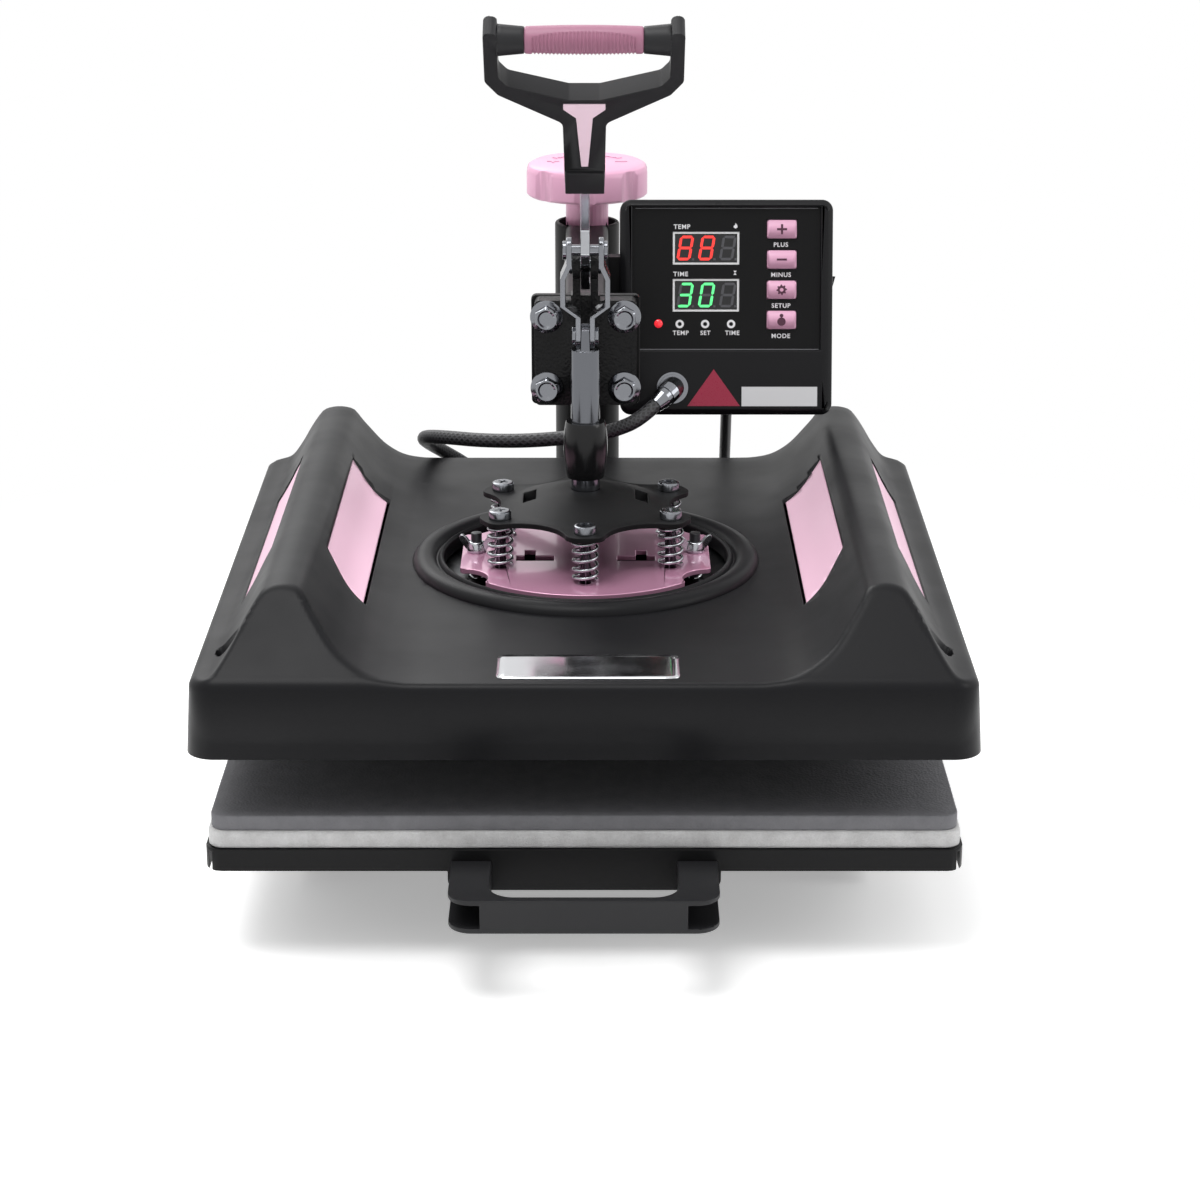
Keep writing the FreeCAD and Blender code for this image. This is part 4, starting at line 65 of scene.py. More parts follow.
# Studio: a seamless pale floor, a wide soft lamp above and in front, a weaker one on the
# right and one behind. The world is brightest high up behind the machine, dimmest low in
# front of it, and shows as plain white.


def linear(code):
    """An sRGB hex value as the linear colour that shaders and lamps take."""
    shares = [int(code[i : i + 2], 16) / 255 for i in (0, 2, 4)]
    curved = [s / 12.92 if s <= 0.04045 else ((s + 0.055) / 1.055) ** 2.4 for s in shares]
    return (*curved, 1.0)


def add_node(tree, kind, settings=(), **inputs):
    """Adds one shader node; each input takes a value or another node's output."""
    made = tree.nodes.new("ShaderNode" + kind)
    for name, value in dict(settings).items():
        setattr(made, name, value)
    for name, value in inputs.items():
        socket = made.inputs[int(name[1:]) if name[1:].isdigit() else name.replace("_", " ")]
        if isinstance(value, bpy.types.NodeSocket):
            tree.links.new(value, socket)
        else:
            socket.default_value = value
    return made


def blank_material(name):
    material = bpy.data.materials.new(name)
    material.use_nodes = True
    material.node_tree.nodes.clear()
    return material, material.node_tree


def linked(mesh_or_curve, name):
    """A new object in the scene around finished data."""
    made = bpy.data.objects.new(name, mesh_or_curve)
    bpy.context.scene.collection.objects.link(made)
    return made


scene = bpy.context.scene
scene.view_settings.view_transform = "Standard"

world = bpy.data.worlds.new("studio")
scene.world = world
world.use_nodes = True
sky = world.node_tree
sky.nodes.clear()


def seen_directly(tree):
    """1 for rays from the camera and for those that metal and glass send on, otherwise 0."""
    ray = add_node(tree, "LightPath")
    largest = ray.outputs["Is Camera Ray"]
    for other in ("Is Glossy Ray", "Is Transmission Ray"):
        either = add_node(tree, "Math", {"operation": "MAXIMUM"}, _0=largest, _1=ray.outputs[other])
        largest = either.outputs["Value"]
    return largest


sky_dimmest = 0.1
sky_brightest = 1.1
direction = add_node(sky, "SeparateXYZ", Vector=add_node(sky, "TexCoord").outputs["Generated"])
upward = add_node(sky, "Math", {"operation": "MULTIPLY"}, _0=direction.outputs["Z"], _1=0.5)
slant = add_node(
    sky,
    "Math",
    {"operation": "MULTIPLY_ADD"},
    _0=direction.outputs["Y"],
    _1=0.6,
    _2=upward.outputs["Value"],
)
lift = add_node(
    sky,
    "MapRange",
    {"interpolation_type": "SMOOTHSTEP"},
    Value=slant.outputs["Value"],
    From_Min=-0.65,
    From_Max=0.72,
    To_Min=sky_dimmest,
    To_Max=sky_brightest,
)
soft_grey = add_node(sky, "Background", Color=linear("ffffff"), Strength=lift.outputs["Result"])
plain_white = add_node(sky, "Background", Color=linear("ffffff"), Strength=1.0)
sky_mix = add_node(
    sky,
    "MixShader",
    _0=seen_directly(sky),
    _1=soft_grey.outputs["Background"],
    _2=plain_white.outputs["Background"],
)
add_node(sky, "OutputWorld", Surface=sky_mix.outputs["Shader"])

# The floor keeps the machine's shadow near it and runs out to the plain white behind.
floor_span = 30.0
shadow_reach = 0.36
white_reach = 0.75
floor_material, tree = blank_material("studio_floor")
spot = add_node(tree, "NewGeometry")
reach = add_node(tree, "VectorMath", {"operation": "LENGTH"}, _0=spot.outputs["Position"])
far = add_node(
    tree,
    "MapRange",
    {"interpolation_type": "SMOOTHSTEP"},
    Value=reach.outputs["Value"],
    From_Min=shadow_reach,
    From_Max=white_reach,
)
matte = add_node(tree, "BsdfDiffuse", Color=linear("f8f8f8"))
glow = add_node(tree, "Emission", Color=linear("ffffff"), Strength=0.36)
near = add_node(tree, "AddShader", _0=matte.outputs["BSDF"], _1=glow.outputs["Emission"])
white = add_node(tree, "Emission", Color=linear("ffffff"), Strength=1.0)
blended = add_node(
    tree,
    "MixShader",
    _0=far.outputs["Result"],
    _1=near.outputs["Shader"],
    _2=white.outputs["Emission"],
)
shown = add_node(
    tree,
    "MixShader",
    _0=seen_directly(tree),
    _1=matte.outputs["BSDF"],
    _2=blended.outputs["Shader"],
)
add_node(tree, "OutputMaterial", Surface=shown.outputs["Shader"])

shape = bmesh.new()
bmesh.ops.create_grid(shape, x_segments=1, y_segments=1, size=floor_span / 2)
floor_mesh = bpy.data.meshes.new("floor")
shape.to_mesh(floor_mesh)
shape.free()
floor_mesh.materials.append(floor_material)
linked(floor_mesh, "floor")

middle_of_machine = Vector((0.0, 0.02, 0.2))


def soft_lamp(name, place, span, power):
    lamp = bpy.data.lights.new(name, "AREA")
    lamp.shape = "DISK"
    lamp.size = span
    lamp.energy = power
    made = linked(lamp, name)
    made.location = place
    aim = middle_of_machine - Vector(place)
    made.rotation_euler = aim.to_track_quat("-Z", "Y").to_euler()


soft_lamp("key_lamp", (-0.5, -0.55, 2.4), 1.5, 34.0)
soft_lamp("right_lamp", (1.9, -0.5, 1.3), 1.2, 10.0)
soft_lamp("back_lamp", (-0.9, 1.9, 1.9), 1.6, 22.0)

# Camera: a long lens well back from the drawer, a little above the machine, looking down on
# it by 19 degrees.
camera_place = (0.008, -1.563, 0.6626)
camera_pitch = 19.04
camera_lens = 87.0
camera_data = bpy.data.cameras.new("camera")
camera_data.lens = camera_lens
camera = linked(camera_data, "camera")
camera.location = camera_place
camera.rotation_euler = (math.radians(90.0 - camera_pitch), 0.0, 0.0)
scene.camera = camera

# Mains cord: a round three-core lead in a smooth rubber-like jacket. It leaves the gland
# behind the control box, hangs to the table and lies there as a tied coil of two layers.
cord_diameter = 7.0 * MM
coil_x = 29.0
coil_y = 330.9
coil_radius = 46.0
coil_step = 7.6
coil_low = 5.2
coil_turns = 4.5
points_per_turn = 12
cord_points = [
    (84.9, 177.2, 211.0),
    (84.9, 192.8, 207.4),
    (86.8, 206.3, 198.2),
    (88.2, 216.0, 184.2),
    (88.2, 224.2, 157.5),
    (87.9, 240.4, 110.4),
    (87.1, 262.5, 64.0),
    (86.4, 272.9, 36.9),
    (79.8, 278.5, 22.3),
    (67.7, 282.7, 11.2),
    (52.0, 284.9, 5.2),
    (36.0, 284.9, 5.2),
]
# A spline of order 3 runs inside its points, so the coil's points stand a little outside.
coil_swell = 4.0 / (3.0 + math.cos(2 * math.pi / points_per_turn))
coil_total = 2 * math.pi * coil_turns


def clipped(share):
    """A share held between none and all."""
    return min(1.0, max(0.0, share))


for i in range(int(coil_turns * points_per_turn) + 1):
    angle = 2 * math.pi * i / points_per_turn
    inward = min(angle, coil_total - angle)
    radius = (coil_radius - coil_step * inward / (2 * math.pi)) * coil_swell
    climb = clipped((angle - coil_total / 2) / math.pi + 0.5)
    layer = (1 - math.cos(math.pi * climb)) / 2
    heading = -math.pi / 2 - angle
    cord_points.append(
        (
            coil_x + radius * math.cos(heading),
            coil_y + radius * math.sin(heading),
            coil_low + coil_step * layer,
        )
    )
cord_points.append((36.0, coil_y + coil_radius, coil_low + coil_step))


def add_route(curve, points, resolution):
    """Adds a smooth NURBS line along chosen points, given in millimetres, to a curve."""
    spline = curve.splines.new("NURBS")
    spline.points.add(len(points) - 1)
    for spot, at in zip(spline.points, points):
        spot.co = (*(value * MM for value in at), 1.0)
    spline.order_u = 3
    spline.use_endpoint_u = True
    spline.resolution_u = resolution


def drawn_mesh(curve):
    """The mesh that a curve or a text gives as it stands."""
    holder = linked(curve, curve.name)
    bpy.context.view_layer.update()
    mesh = bpy.data.meshes.new_from_object(holder)
    bpy.data.objects.remove(holder)
    return mesh


def cord_tube(name, points, radius, sides):
    """A mesh tube round a route, and the points of the route's line."""
    curve = bpy.data.curves.new(name + "_route", "CURVE")
    curve.dimensions = "3D"
    add_route(curve, points, 8)
    line = drawn_mesh(curve)
    path = [tuple(vertex.co) for vertex in line.vertices]
    bpy.data.meshes.remove(line)
    curve.bevel_depth = radius
    curve.bevel_resolution = sides // 4 - 1
    curve.use_fill_caps = True
    mesh = drawn_mesh(curve)
    mesh.shade_smooth()
    mesh.materials.clear()
    return linked(mesh, name), path


def wandering(tree, spots, per_mm, detail, low, high):
    """A value that drifts between two limits over a piece, as the sheen of a used one does."""
    cloud = add_node(tree, "TexNoise", Vector=spots, Scale=per_mm / MM, Detail=detail)
    drift = add_node(
        tree,
        "MapRange",
        Value=cloud.outputs["Fac"],
        From_Min=0.3,
        From_Max=0.7,
        To_Min=low,
        To_Max=high,
    )
    return drift.outputs["Result"]


def rubber_jacket(name, code, roughness):
    """Soft PVC or rubber: dark, a broad dull shine and a faint grain with dust in it."""
    material, tree = blank_material(name)
    spots = add_node(tree, "TexCoord").outputs["Object"]
    grain = add_node(tree, "TexNoise", Vector=spots, Scale=1.4 / MM, Detail=2.0)
    relief = add_node(tree, "Bump", Strength=0.25, Distance=0.08 * MM, Height=grain.outputs["Fac"])
    shader = add_node(
        tree,
        "BsdfPrincipled",
        Base_Color=linear(code),
        Roughness=wandering(tree, spots, 0.06, 4.0, roughness - 0.07, roughness + 0.08),
        IOR=1.5,
        Normal=relief.outputs["Normal"],
    )
    add_node(tree, "OutputMaterial", Surface=shader.outputs["BSDF"])
    return material


mains_cord, mains_line = cord_tube("mains_lead", cord_points, cord_diameter / 2, 16)
mains_cord.data.materials.append(rubber_jacket("pvc_cord_jacket", "1b1b1d", 0.42))
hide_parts("mains_cord", "mains_coil")
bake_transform(mains_cord)

# Platen cable: heat-proof leads in a black braided sleeve. It swings from the plug on the
# box round behind the plunger and down to the boot on the cover's back.
cable_diameter = 8.5 * MM
cable_points = [
    (40.2, 84.8, 214.8),
    (31.3, 75.9, 208.7),
    (18.3, 71.7, 204.0),
    (3.9, 73.7, 200.1),
    (-15.2, 83.4, 195.1),
    (-39.0, 98.9, 189.1),
    (-64.2, 117.9, 184.1),
    (-82.8, 132.9, 181.6),
    (-93.6, 142.3, 179.6),
    (-99.7, 153.9, 176.1),
    (-101.1, 166.8, 170.8),
    (-97.3, 178.5, 164.3),
    (-89.2, 187.2, 156.8),
    (-78.4, 191.6, 149.0),
    (-67.1, 191.6, 140.8),
]


def braided_sleeve(name, code, light_code, length, around, strand):
    """Flat nylon strands, two ways round, each crown painted lighter and each gap between painted
    darker, as painted highlight and shade.
    """
    material, tree = blank_material(name)
    place = add_node(tree, "TexCoord")
    split = add_node(tree, "SeparateXYZ", Vector=place.outputs["UV"])
    along = add_node(
        tree, "Math", {"operation": "MULTIPLY"}, _0=split.outputs["X"], _1=length / strand
    )
    heights = []
    for lean in (1.0, -1.0):
        across = add_node(
            tree,
            "Math",
            {"operation": "MULTIPLY_ADD"},
            _0=split.outputs["Y"],
            _1=around * lean,
            _2=along.outputs["Value"],
        )
        wave = add_node(tree, "Math", {"operation": "PINGPONG"}, _0=across.outputs["Value"], _1=0.5)
        heights.append(wave.outputs["Value"])
    top = add_node(tree, "Math", {"operation": "MAXIMUM"}, _0=heights[0], _1=heights[1])
    # Painted highlight on the strands' crowns and painted shade in the gaps, by strand height.
    shade = add_node(tree, "MapRange", Value=top.outputs["Value"], From_Min=0.2, From_Max=0.5)
    tint = add_node(
        tree,
        "MixRGB",
        Fac=shade.outputs["Result"],
        Color1=linear(code),
        Color2=linear(light_code),
    )
    relief = add_node(tree, "Bump", Strength=0.9, Distance=0.5 * MM, Height=top.outputs["Value"])
    shader = add_node(
        tree,
        "BsdfPrincipled",
        Base_Color=tint.outputs["Color"],
        Roughness=0.45,
        IOR=1.5,
        Normal=relief.outputs["Normal"],
    )
    add_node(tree, "OutputMaterial", Surface=shader.outputs["BSDF"])
    return material


platen_cable, cable_line = cord_tube("braided_cable", cable_points, cable_diameter / 2, 24)
# The strands are drawn coarser than real ones of about 1 mm, which would be too fine to show.
# The second colour is the painted highlight on each strand's crown, the first the painted shade
# between.
black_braid = braided_sleeve(
    "braided_nylon_sleeve", "0b0b0c", "3a3a3e", length=0.245, around=8.0, strand=3.4 * MM
)
platen_cable.data.materials.append(black_braid)
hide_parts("platen_cable")
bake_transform(platen_cable)

# Stand: square tubes welded to two cross tubes and a foot plate with gussets, then powder
# coated black with a fine texture that breaks up its shine.


def powder_coat(name, code, grain, roughness):
    """Baked powder paint: fine orange-peel relief and an even, satin sheen."""
    material, tree = blank_material(name)
    spots = add_node(tree, "TexCoord").outputs["Object"]
    peel = add_node(tree, "TexNoise", Vector=spots, Scale=1 / grain, Detail=3.0)
    relief = add_node(tree, "Bump", Strength=0.35, Distance=grain * 0.15, Height=peel.outputs["Fac"])
    shader = add_node(
        tree,
        "BsdfPrincipled",
        Base_Color=linear(code),
        Roughness=wandering(tree, spots, 0.018, 3.0, roughness - 0.05, roughness + 0.06),
        IOR=1.5,
        Specular_IOR_Level=0.14,
        Normal=relief.outputs["Normal"],
    )
    add_node(tree, "OutputMaterial", Surface=shader.outputs["BSDF"])
    return material


def dress(material, *names):
    """Gives CAD nodes their finish."""
    for name in names:
        mesh = nodes[name].data
        mesh.materials.clear()
        mesh.materials.append(material)


bodies = frame["record"]["behaviour"]["bodies"]
rides = {name: body for body, names in bodies.items() for name in names}
same_spot = 0.002 * MM
sharp_turn = 35.0


def finished(shape, name, material, crease=sharp_turn):
    """Turns worked faces into an object: merged, facing outward, smooth but for creases."""
    bmesh.ops.remove_doubles(shape, verts=shape.verts, dist=same_spot)
    bmesh.ops.recalc_face_normals(shape, faces=shape.faces)
    mesh = bpy.data.meshes.new(name)
    shape.to_mesh(mesh)
    shape.free()
    mesh.shade_smooth()
    mesh.set_sharp_from_angle(angle=math.radians(crease))
    mesh.materials.append(material)
    return linked(mesh, name)


def ease_edges(made, width, least_turn=sharp_turn, clamped=False):
    """Rounds a piece's sharp edges, by a width in mm."""
    eased = made.modifiers.new("eased_edges", "BEVEL")
    eased.width = width * MM
    eased.segments = 2
    eased.limit_method = "ANGLE"
    eased.angle_limit = math.radians(least_turn)
    eased.use_clamp_overlap = clamped
    eased.harden_normals = True


def worked_copy(node, name, material, easing, lose=None):
    """The CAD form of a piece, its edges eased by a width in mm, in place of the plain solid."""
    shape = bmesh.new()
    shape.from_mesh(nodes[node].data)
    bmesh.ops.remove_doubles(shape, verts=shape.verts, dist=same_spot)
    if lose:
        gone = [vertex for vertex in shape.verts if lose(vertex.co / MM)]
        bmesh.ops.delete(shape, geom=gone, context="VERTS")
    bmesh.ops.join_triangles(
        shape,
        faces=shape.faces,
        angle_face_threshold=math.radians(1.0),
        angle_shape_threshold=math.radians(180.0),
    )
    made = finished(shape, name, material)
    if easing:
        ease_edges(made, easing)
    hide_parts(node)
    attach(made, rides[node])


frame_black = powder_coat("black_powder_coat", "151516", 0.7 * MM, 0.4)
dress(frame_black, "drawer_channels", "thrust_plug", "box_bracket")
worked_copy("base_frame", "welded_stand", frame_black, 0.9)

# Post: drawn steel tube, ground and blackened so that the liner turns on it. It is welded to
# the foot plate between the gussets.


def bare_metal(name, code, roughness, streak=None):
    """Bare or plated metal: a clear reflection with slight clouding from handling."""
    material, tree = blank_material(name)
    spots = add_node(tree, "TexCoord").outputs["Object"]
    if streak:
        spots = add_node(tree, "Mapping", Vector=spots, Scale=streak).outputs["Vector"]
    clearest = max(0.03, roughness - 0.05)
    shader = add_node(
        tree,
        "BsdfPrincipled",
        Base_Color=linear(code),
        Metallic=1.0,
        Roughness=wandering(tree, spots, 0.045, 5.0, clearest, roughness + 0.08),
    )
    add_node(tree, "OutputMaterial", Surface=shader.outputs["BSDF"])
    return material


dress(bare_metal("blackened_steel", "4a4a4d", 0.3, streak=(1.0, 1.0, 12.0)), "column_post")

# Feet and cord fittings: moulded rubber and PVC. The feet are cones pushed into the tubes,
# and the gland and the boot grip the cords where these go through a wall.
foot_rubber = rubber_jacket("moulded_rubber", "19191a", 0.62)
dress(foot_rubber, "rubber_feet", "cord_tie", "mains_gland", "cable_boot")
dress(rubber_jacket("moulded_plug_pvc", "1c1c1e", 0.48), "mains_plug")

# Runners: rolled galvanised steel, bent to a C and greased. They carry the tray and slide in
# the stand's channels.
dress(bare_metal("rolled_steel", "b9bbbd", 0.34, streak=(1.0, 0.05, 1.0)), "drawer_runners")

# Tray: folded sheet steel with a turned-down skirt and a front tab for the handle, powder
# coated with the stand.
worked_copy("drawer_tray", "folded_tray", frame_black, 0.35)

# Felt: a thick mat of pressed pale fibre, cut square with round corners and laid on the tray
# as a cushion. Its rims are soft.
felt_low, felt_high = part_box("felt_layer")
mat_corner = 8.0 * MM


def soft_layer(name, low, high, corner, rim, waver, seed):
    """A mat with rounded corners, soft rims and sides that waver a little."""
    span = high - low
    centre = (high + low) / 2
    shape = bmesh.new()
    bmesh.ops.create_cube(shape, size=1.0)
    bmesh.ops.scale(shape, vec=span, verts=shape.verts)
    bmesh.ops.translate(shape, vec=centre, verts=shape.verts)

    def rise(edge):
        return abs(edge.verts[0].co.z - edge.verts[1].co.z)

    upright = [edge for edge in shape.edges if rise(edge) > span.z / 2]
    bmesh.ops.bevel(
        shape, geom=upright, offset=corner, segments=8, affect="EDGES", profile=0.5, material=-1
    )
    level = [edge for edge in shape.edges if rise(edge) < span.z / 4]
    bmesh.ops.bevel(
        shape, geom=level, offset=rim, segments=3, affect="EDGES", profile=0.5, material=-1
    )
    cells = 24
    for axis in (0, 1):
        for i in range(1, cells):
            cut_at = centre.copy()
            cut_at[axis] = low[axis] + span[axis] / cells * i
            normal = Vector((0.0, 0.0, 0.0))
            normal[axis] = 1.0
            bmesh.ops.bisect_plane(
                shape,
                geom=shape.verts[:] + shape.edges[:] + shape.faces[:],
                plane_co=cut_at,
                plane_no=normal,
            )
    draw = random.Random(seed)
    side_share = 0.93
    for vertex in shape.verts:
        out = Vector((vertex.co.x - centre.x, vertex.co.y - centre.y, 0.0))
        if max(abs(out.x) / span.x, abs(out.y) / span.y) * 2 > side_share:
            vertex.co += out.normalized() * draw.uniform(-waver, waver) * 0.5
    mesh = bpy.data.meshes.new(name)
    shape.to_mesh(mesh)
    shape.free()
    mesh.shade_smooth()
    return linked(mesh, name)


def pressed_felt(name, code, light_code):
    """Matted fibre: no shine, a mottled tone and a hairy, pitted relief."""
    material, tree = blank_material(name)
    spots = add_node(tree, "TexCoord").outputs["Object"]
    fibre = add_node(tree, "TexNoise", Vector=spots, Scale=0.9 / MM, Detail=6.0, Roughness=0.7)
    mottle = add_node(
        tree,
        "Math",
        {"operation": "MULTIPLY_ADD"},
        _0=fibre.outputs["Fac"],
        _1=0.6,
        _2=wandering(tree, spots, 0.09, 4.0, 0.0, 0.4),
    )
    tint = add_node(
        tree,
        "MixRGB",
        Fac=mottle.outputs["Value"],
        Color1=linear(code),
        Color2=linear(light_code),
    )
    relief = add_node(tree, "Bump", Strength=0.8, Distance=0.6 * MM, Height=fibre.outputs["Fac"])
    shader = add_node(
        tree,
        "BsdfPrincipled",
        Base_Color=tint.outputs["Color"],
        Roughness=0.95,
        Sheen_Weight=0.35,
        Sheen_Roughness=0.6,
        Normal=relief.outputs["Normal"],
    )
    add_node(tree, "OutputMaterial", Surface=shader.outputs["BSDF"])
    return material


felt = soft_layer(
    "felt_mat", felt_low, felt_high, mat_corner, rim=1.4 * MM, waver=0.5 * MM, seed=3
)
felt.data.materials.append(pressed_felt("pressed_felt", "a6a5a5", "e4e4e4"))
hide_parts("felt_layer")
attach(felt, "drawer")

# Pad: closed-cell silicone foam, cut square like the felt and laid on it. The platen presses
# against it.
pad_low, pad_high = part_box("silicone_pad")


def silicone_foam(name, code, light_code):
    """Sponge silicone: matt charcoal with small closed cells along its cut rim."""
    material, tree = blank_material(name)
    spots = add_node(tree, "TexCoord").outputs["Object"]
    cells = add_node(tree, "TexVoronoi", Vector=spots, Scale=0.7 / MM)
    patch = add_node(tree, "TexNoise", Vector=spots, Scale=0.12 / MM, Detail=5.0)
    tint = add_node(
        tree, "MixRGB", Fac=patch.outputs["Fac"], Color1=linear(code), Color2=linear(light_code)
    )
    relief = add_node(
        tree, "Bump", Strength=0.5, Distance=0.4 * MM, Height=cells.outputs["Distance"]
    )
    shader = add_node(
        tree,
        "BsdfPrincipled",
        Base_Color=tint.outputs["Color"],
        Roughness=0.78,
        Normal=relief.outputs["Normal"],
    )
    add_node(tree, "OutputMaterial", Surface=shader.outputs["BSDF"])
    return material


pad = soft_layer("foam_pad", pad_low, pad_high, mat_corner, rim=0.9 * MM, waver=0.2 * MM, seed=5)
pad.data.materials.append(silicone_foam("silicone_sponge", "66666a", "7b7b7e"))
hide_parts("silicone_pad")
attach(pad, "drawer")

# Drawer handle: one U-shaped ABS moulding with well-rounded arms, held on the tray's tab by
# two screws. Its fine spark texture is drawn a little coarser than it is, so that it shows.


def moulded_plastic(name, code, roughness, grain=0.6 * MM, shine=0.5):
    """Injection-moulded plastic: a fine even texture under a soft sheen."""
    material, tree = blank_material(name)
    spots = add_node(tree, "TexCoord").outputs["Object"]
    spark = add_node(tree, "TexNoise", Vector=spots, Scale=1 / grain, Detail=2.0)
    relief = add_node(tree, "Bump", Strength=0.3, Distance=grain * 0.12, Height=spark.outputs["Fac"])
    shader = add_node(
        tree,
        "BsdfPrincipled",
        Base_Color=linear(code),
        Roughness=wandering(tree, spots, 0.025, 3.0, roughness - 0.04, roughness + 0.05),
        IOR=1.46,
        Specular_IOR_Level=shine,
        Normal=relief.outputs["Normal"],
    )
    add_node(tree, "OutputMaterial", Surface=shader.outputs["BSDF"])
    return material


black_moulding = moulded_plastic("black_abs", "222224", 0.42, shine=0.3)
worked_copy("drawer_handle", "moulded_drawer_handle", black_moulding, 0.5)

# Swivel liner: a sintered bronze sleeve that turns on the post. Its cap takes the pressure
# screw, and the arm's sleeve slides over it.
dress(bare_metal("sintered_bronze", "a98448", 0.42), "swivel_liner")

# Arm: a thick tube round the liner, a rectangular tube welded to it and an end plate drilled
# for the casting's bolts, all coated with the stand.
worked_copy("column_sleeve", "welded_sleeve", frame_black, 0.7)
worked_copy("arm_beam", "welded_arm", frame_black, 1.0)
worked_copy("arm_end_plate", "drilled_end_plate", frame_black, 0.7)

# Toggle base: one iron casting with ears that hold the lever and a barrel that guides the
# plunger, its rough skin under black enamel.


def coated_casting(name, code, roughness, lump):
    """Cast iron under hammered enamel: rounded lumps with a soft gloss."""
    material, tree = blank_material(name)
    spots = add_node(tree, "TexCoord").outputs["Object"]
    lumps = add_node(
        tree, "TexVoronoi", {"feature": "SMOOTH_F1"}, Vector=spots, Scale=1 / lump, Smoothness=0.6
    )
    waves = add_node(tree, "TexNoise", Vector=spots, Scale=0.3 / lump, Detail=3.0)
    height = add_node(
        tree,
        "Math",
        {"operation": "MULTIPLY_ADD"},
        _0=waves.outputs["Fac"],
        _1=1.2,
        _2=lumps.outputs["Distance"],
    )
    relief = add_node(
        tree, "Bump", Strength=0.7, Distance=lump * 0.28, Height=height.outputs["Value"]
    )
    shader = add_node(
        tree,
        "BsdfPrincipled",
        Base_Color=linear(code),
        Roughness=roughness,
        IOR=1.5,
        Specular_IOR_Level=0.18,
        Normal=relief.outputs["Normal"],
    )
    add_node(tree, "OutputMaterial", Surface=shader.outputs["BSDF"])
    return material


enamelled_iron = coated_casting("enamelled_iron", "1a1a1b", 0.34, 1.3 * MM)
worked_copy("toggle_base", "cast_toggle_base", enamelled_iron, 0.25)

# Clamp bolts: zinc-plated flange bolts, cold-headed with a shallow dish in a chamfered hexagon,
# pulled up on the casting with nuts behind the end plate.
bright_plate = bare_metal("bright_zinc_plate", "85878c", 0.17)
bolt_flats = 12.0
bolt_side = 21.5
bolt_level = 20.2
casting_level = 268.3


def formed_sheet(shape, across, along, place):
    """A sheet of faces bent so that its point (i, j) lies where place puts it, in mm."""
    made = bmesh.ops.create_grid(shape, x_segments=across, y_segments=along, size=1.0)
    for vertex in made["verts"]:
        i = round((vertex.co.x + 1.0) / 2 * across)
        j = round((vertex.co.y + 1.0) / 2 * along)
        vertex.co = Vector(place(i, j)) * MM
    return made["verts"]


def turned(shape, sides, stations, seat):
    """Rings round an upright line, set on a seat; a radius may follow the angle."""

    def place(i, j):
        angle = 2 * math.pi * i / sides
        radius, height = stations[j]
        reach = radius(angle) if callable(radius) else radius
        return (reach * math.cos(angle), reach * math.sin(angle), height)

    made = formed_sheet(shape, sides, len(stations) - 1, place)
    bmesh.ops.transform(shape, matrix=seat, verts=made)


def hexagon(flats, inset=0.0):
    """The reach of a hexagon at an angle, for its size across flats."""

    def reach(angle):
        lean = (angle + math.pi / 6) % (math.pi / 3) - math.pi / 6
        return (flats / 2 - inset) / math.cos(lean)

    return reach


def seat_at(x, y, z, up=(0.0, 0.0, 1.0)):
    """A seat for turned pieces: its place in mm and the way the piece points."""
    aim = Vector(up).to_track_quat("Z", "Y").to_matrix().to_4x4()
    return Matrix.Translation(Vector((x, y, z)) * MM) @ aim


worked_copy("clamp_bolts", "bolt_shanks", bright_plate, None, lose=lambda at: at.y < -0.2)
bolt_head = [
    (0.0, 0.0), (9.1, 0.0), (9.15, 0.5), (8.9, 1.0), (7.1, 1.9),
    (hexagon(bolt_flats), 2.1), (hexagon(bolt_flats), 6.0), (hexagon(bolt_flats, 0.15), 6.4),
    (5.75, 7.0), (4.9, 7.0), (4.6, 6.8), (3.9, 6.35), (0.0, 6.2),
]
shape = bmesh.new()
for side in (-1, 1):
    for level in (-1, 1):
        bolt_z = casting_level + level * bolt_level
        turned(shape, 48, bolt_head, seat_at(side * bolt_side, 0.0, bolt_z, up=(0.0, -1.0, 0.0)))
bolt_heads = finished(shape, "bolt_heads", bright_plate, crease=28.0)
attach(bolt_heads, "arm")

# Barrel: the casting's bulging guide for the plunger, turned smooth inside and out and
# enamelled glossy black.
head_y = -20.0
gloss_enamel = moulded_plastic("gloss_enamel", "161617", 0.16, shine=0.35)
barrel_line = [
    (8.3, 202.9), (10.2, 202.9), (10.5, 203.4), (11.1, 207.0), (11.8, 212.0), (12.2, 217.5),
    (12.25, 222.0), (12.0, 227.0), (11.5, 231.0), (11.0, 234.0), (10.6, 234.6), (8.3, 234.6),
]
shape = bmesh.new()
turned(shape, 72, barrel_line, seat_at(0.0, head_y, 0.0))
barrel = finished(shape, "enamelled_barrel", gloss_enamel, crease=40.0)
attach(barrel, "arm")

# Pins, links and rod: the pins and the two bent links are zinc-plated steel, and the plunger rod is
# ground and hard-chromed. The rod's chrome is painted darker than the lever bar's, as painted shade.
worked_copy("toggle_links", "bent_links", bright_plate, 0.5)
worked_copy("lever_pin", "lever_pivot_pin", bright_plate, 0.4)
worked_copy("upper_link_pin", "upper_pin", bright_plate, 0.3)
worked_copy("lower_link_pin", "lower_pin", bright_plate, 0.3)
# The rod's dark chrome colour is painted shade.
worked_copy("plunger_rod", "chromed_plunger", bare_metal("chrome_painted_dark", "707277", 0.12), 0.4)
dress(bright_plate, "pressure_screw", "cable_plug")

# Lever bar: a flat forged bar with a lobe for the links, ground, polished and chromed. It turns on
# the pin through the casting's ears. Its chrome is painted lighter than the rod's, as a painted
# highlight for light from above.
chrome_painted_light = bare_metal("chrome_painted_light", "b0b2b6", 0.12)
worked_copy("lever_bar", "chromed_lever_bar", chrome_painted_light, 0.6)
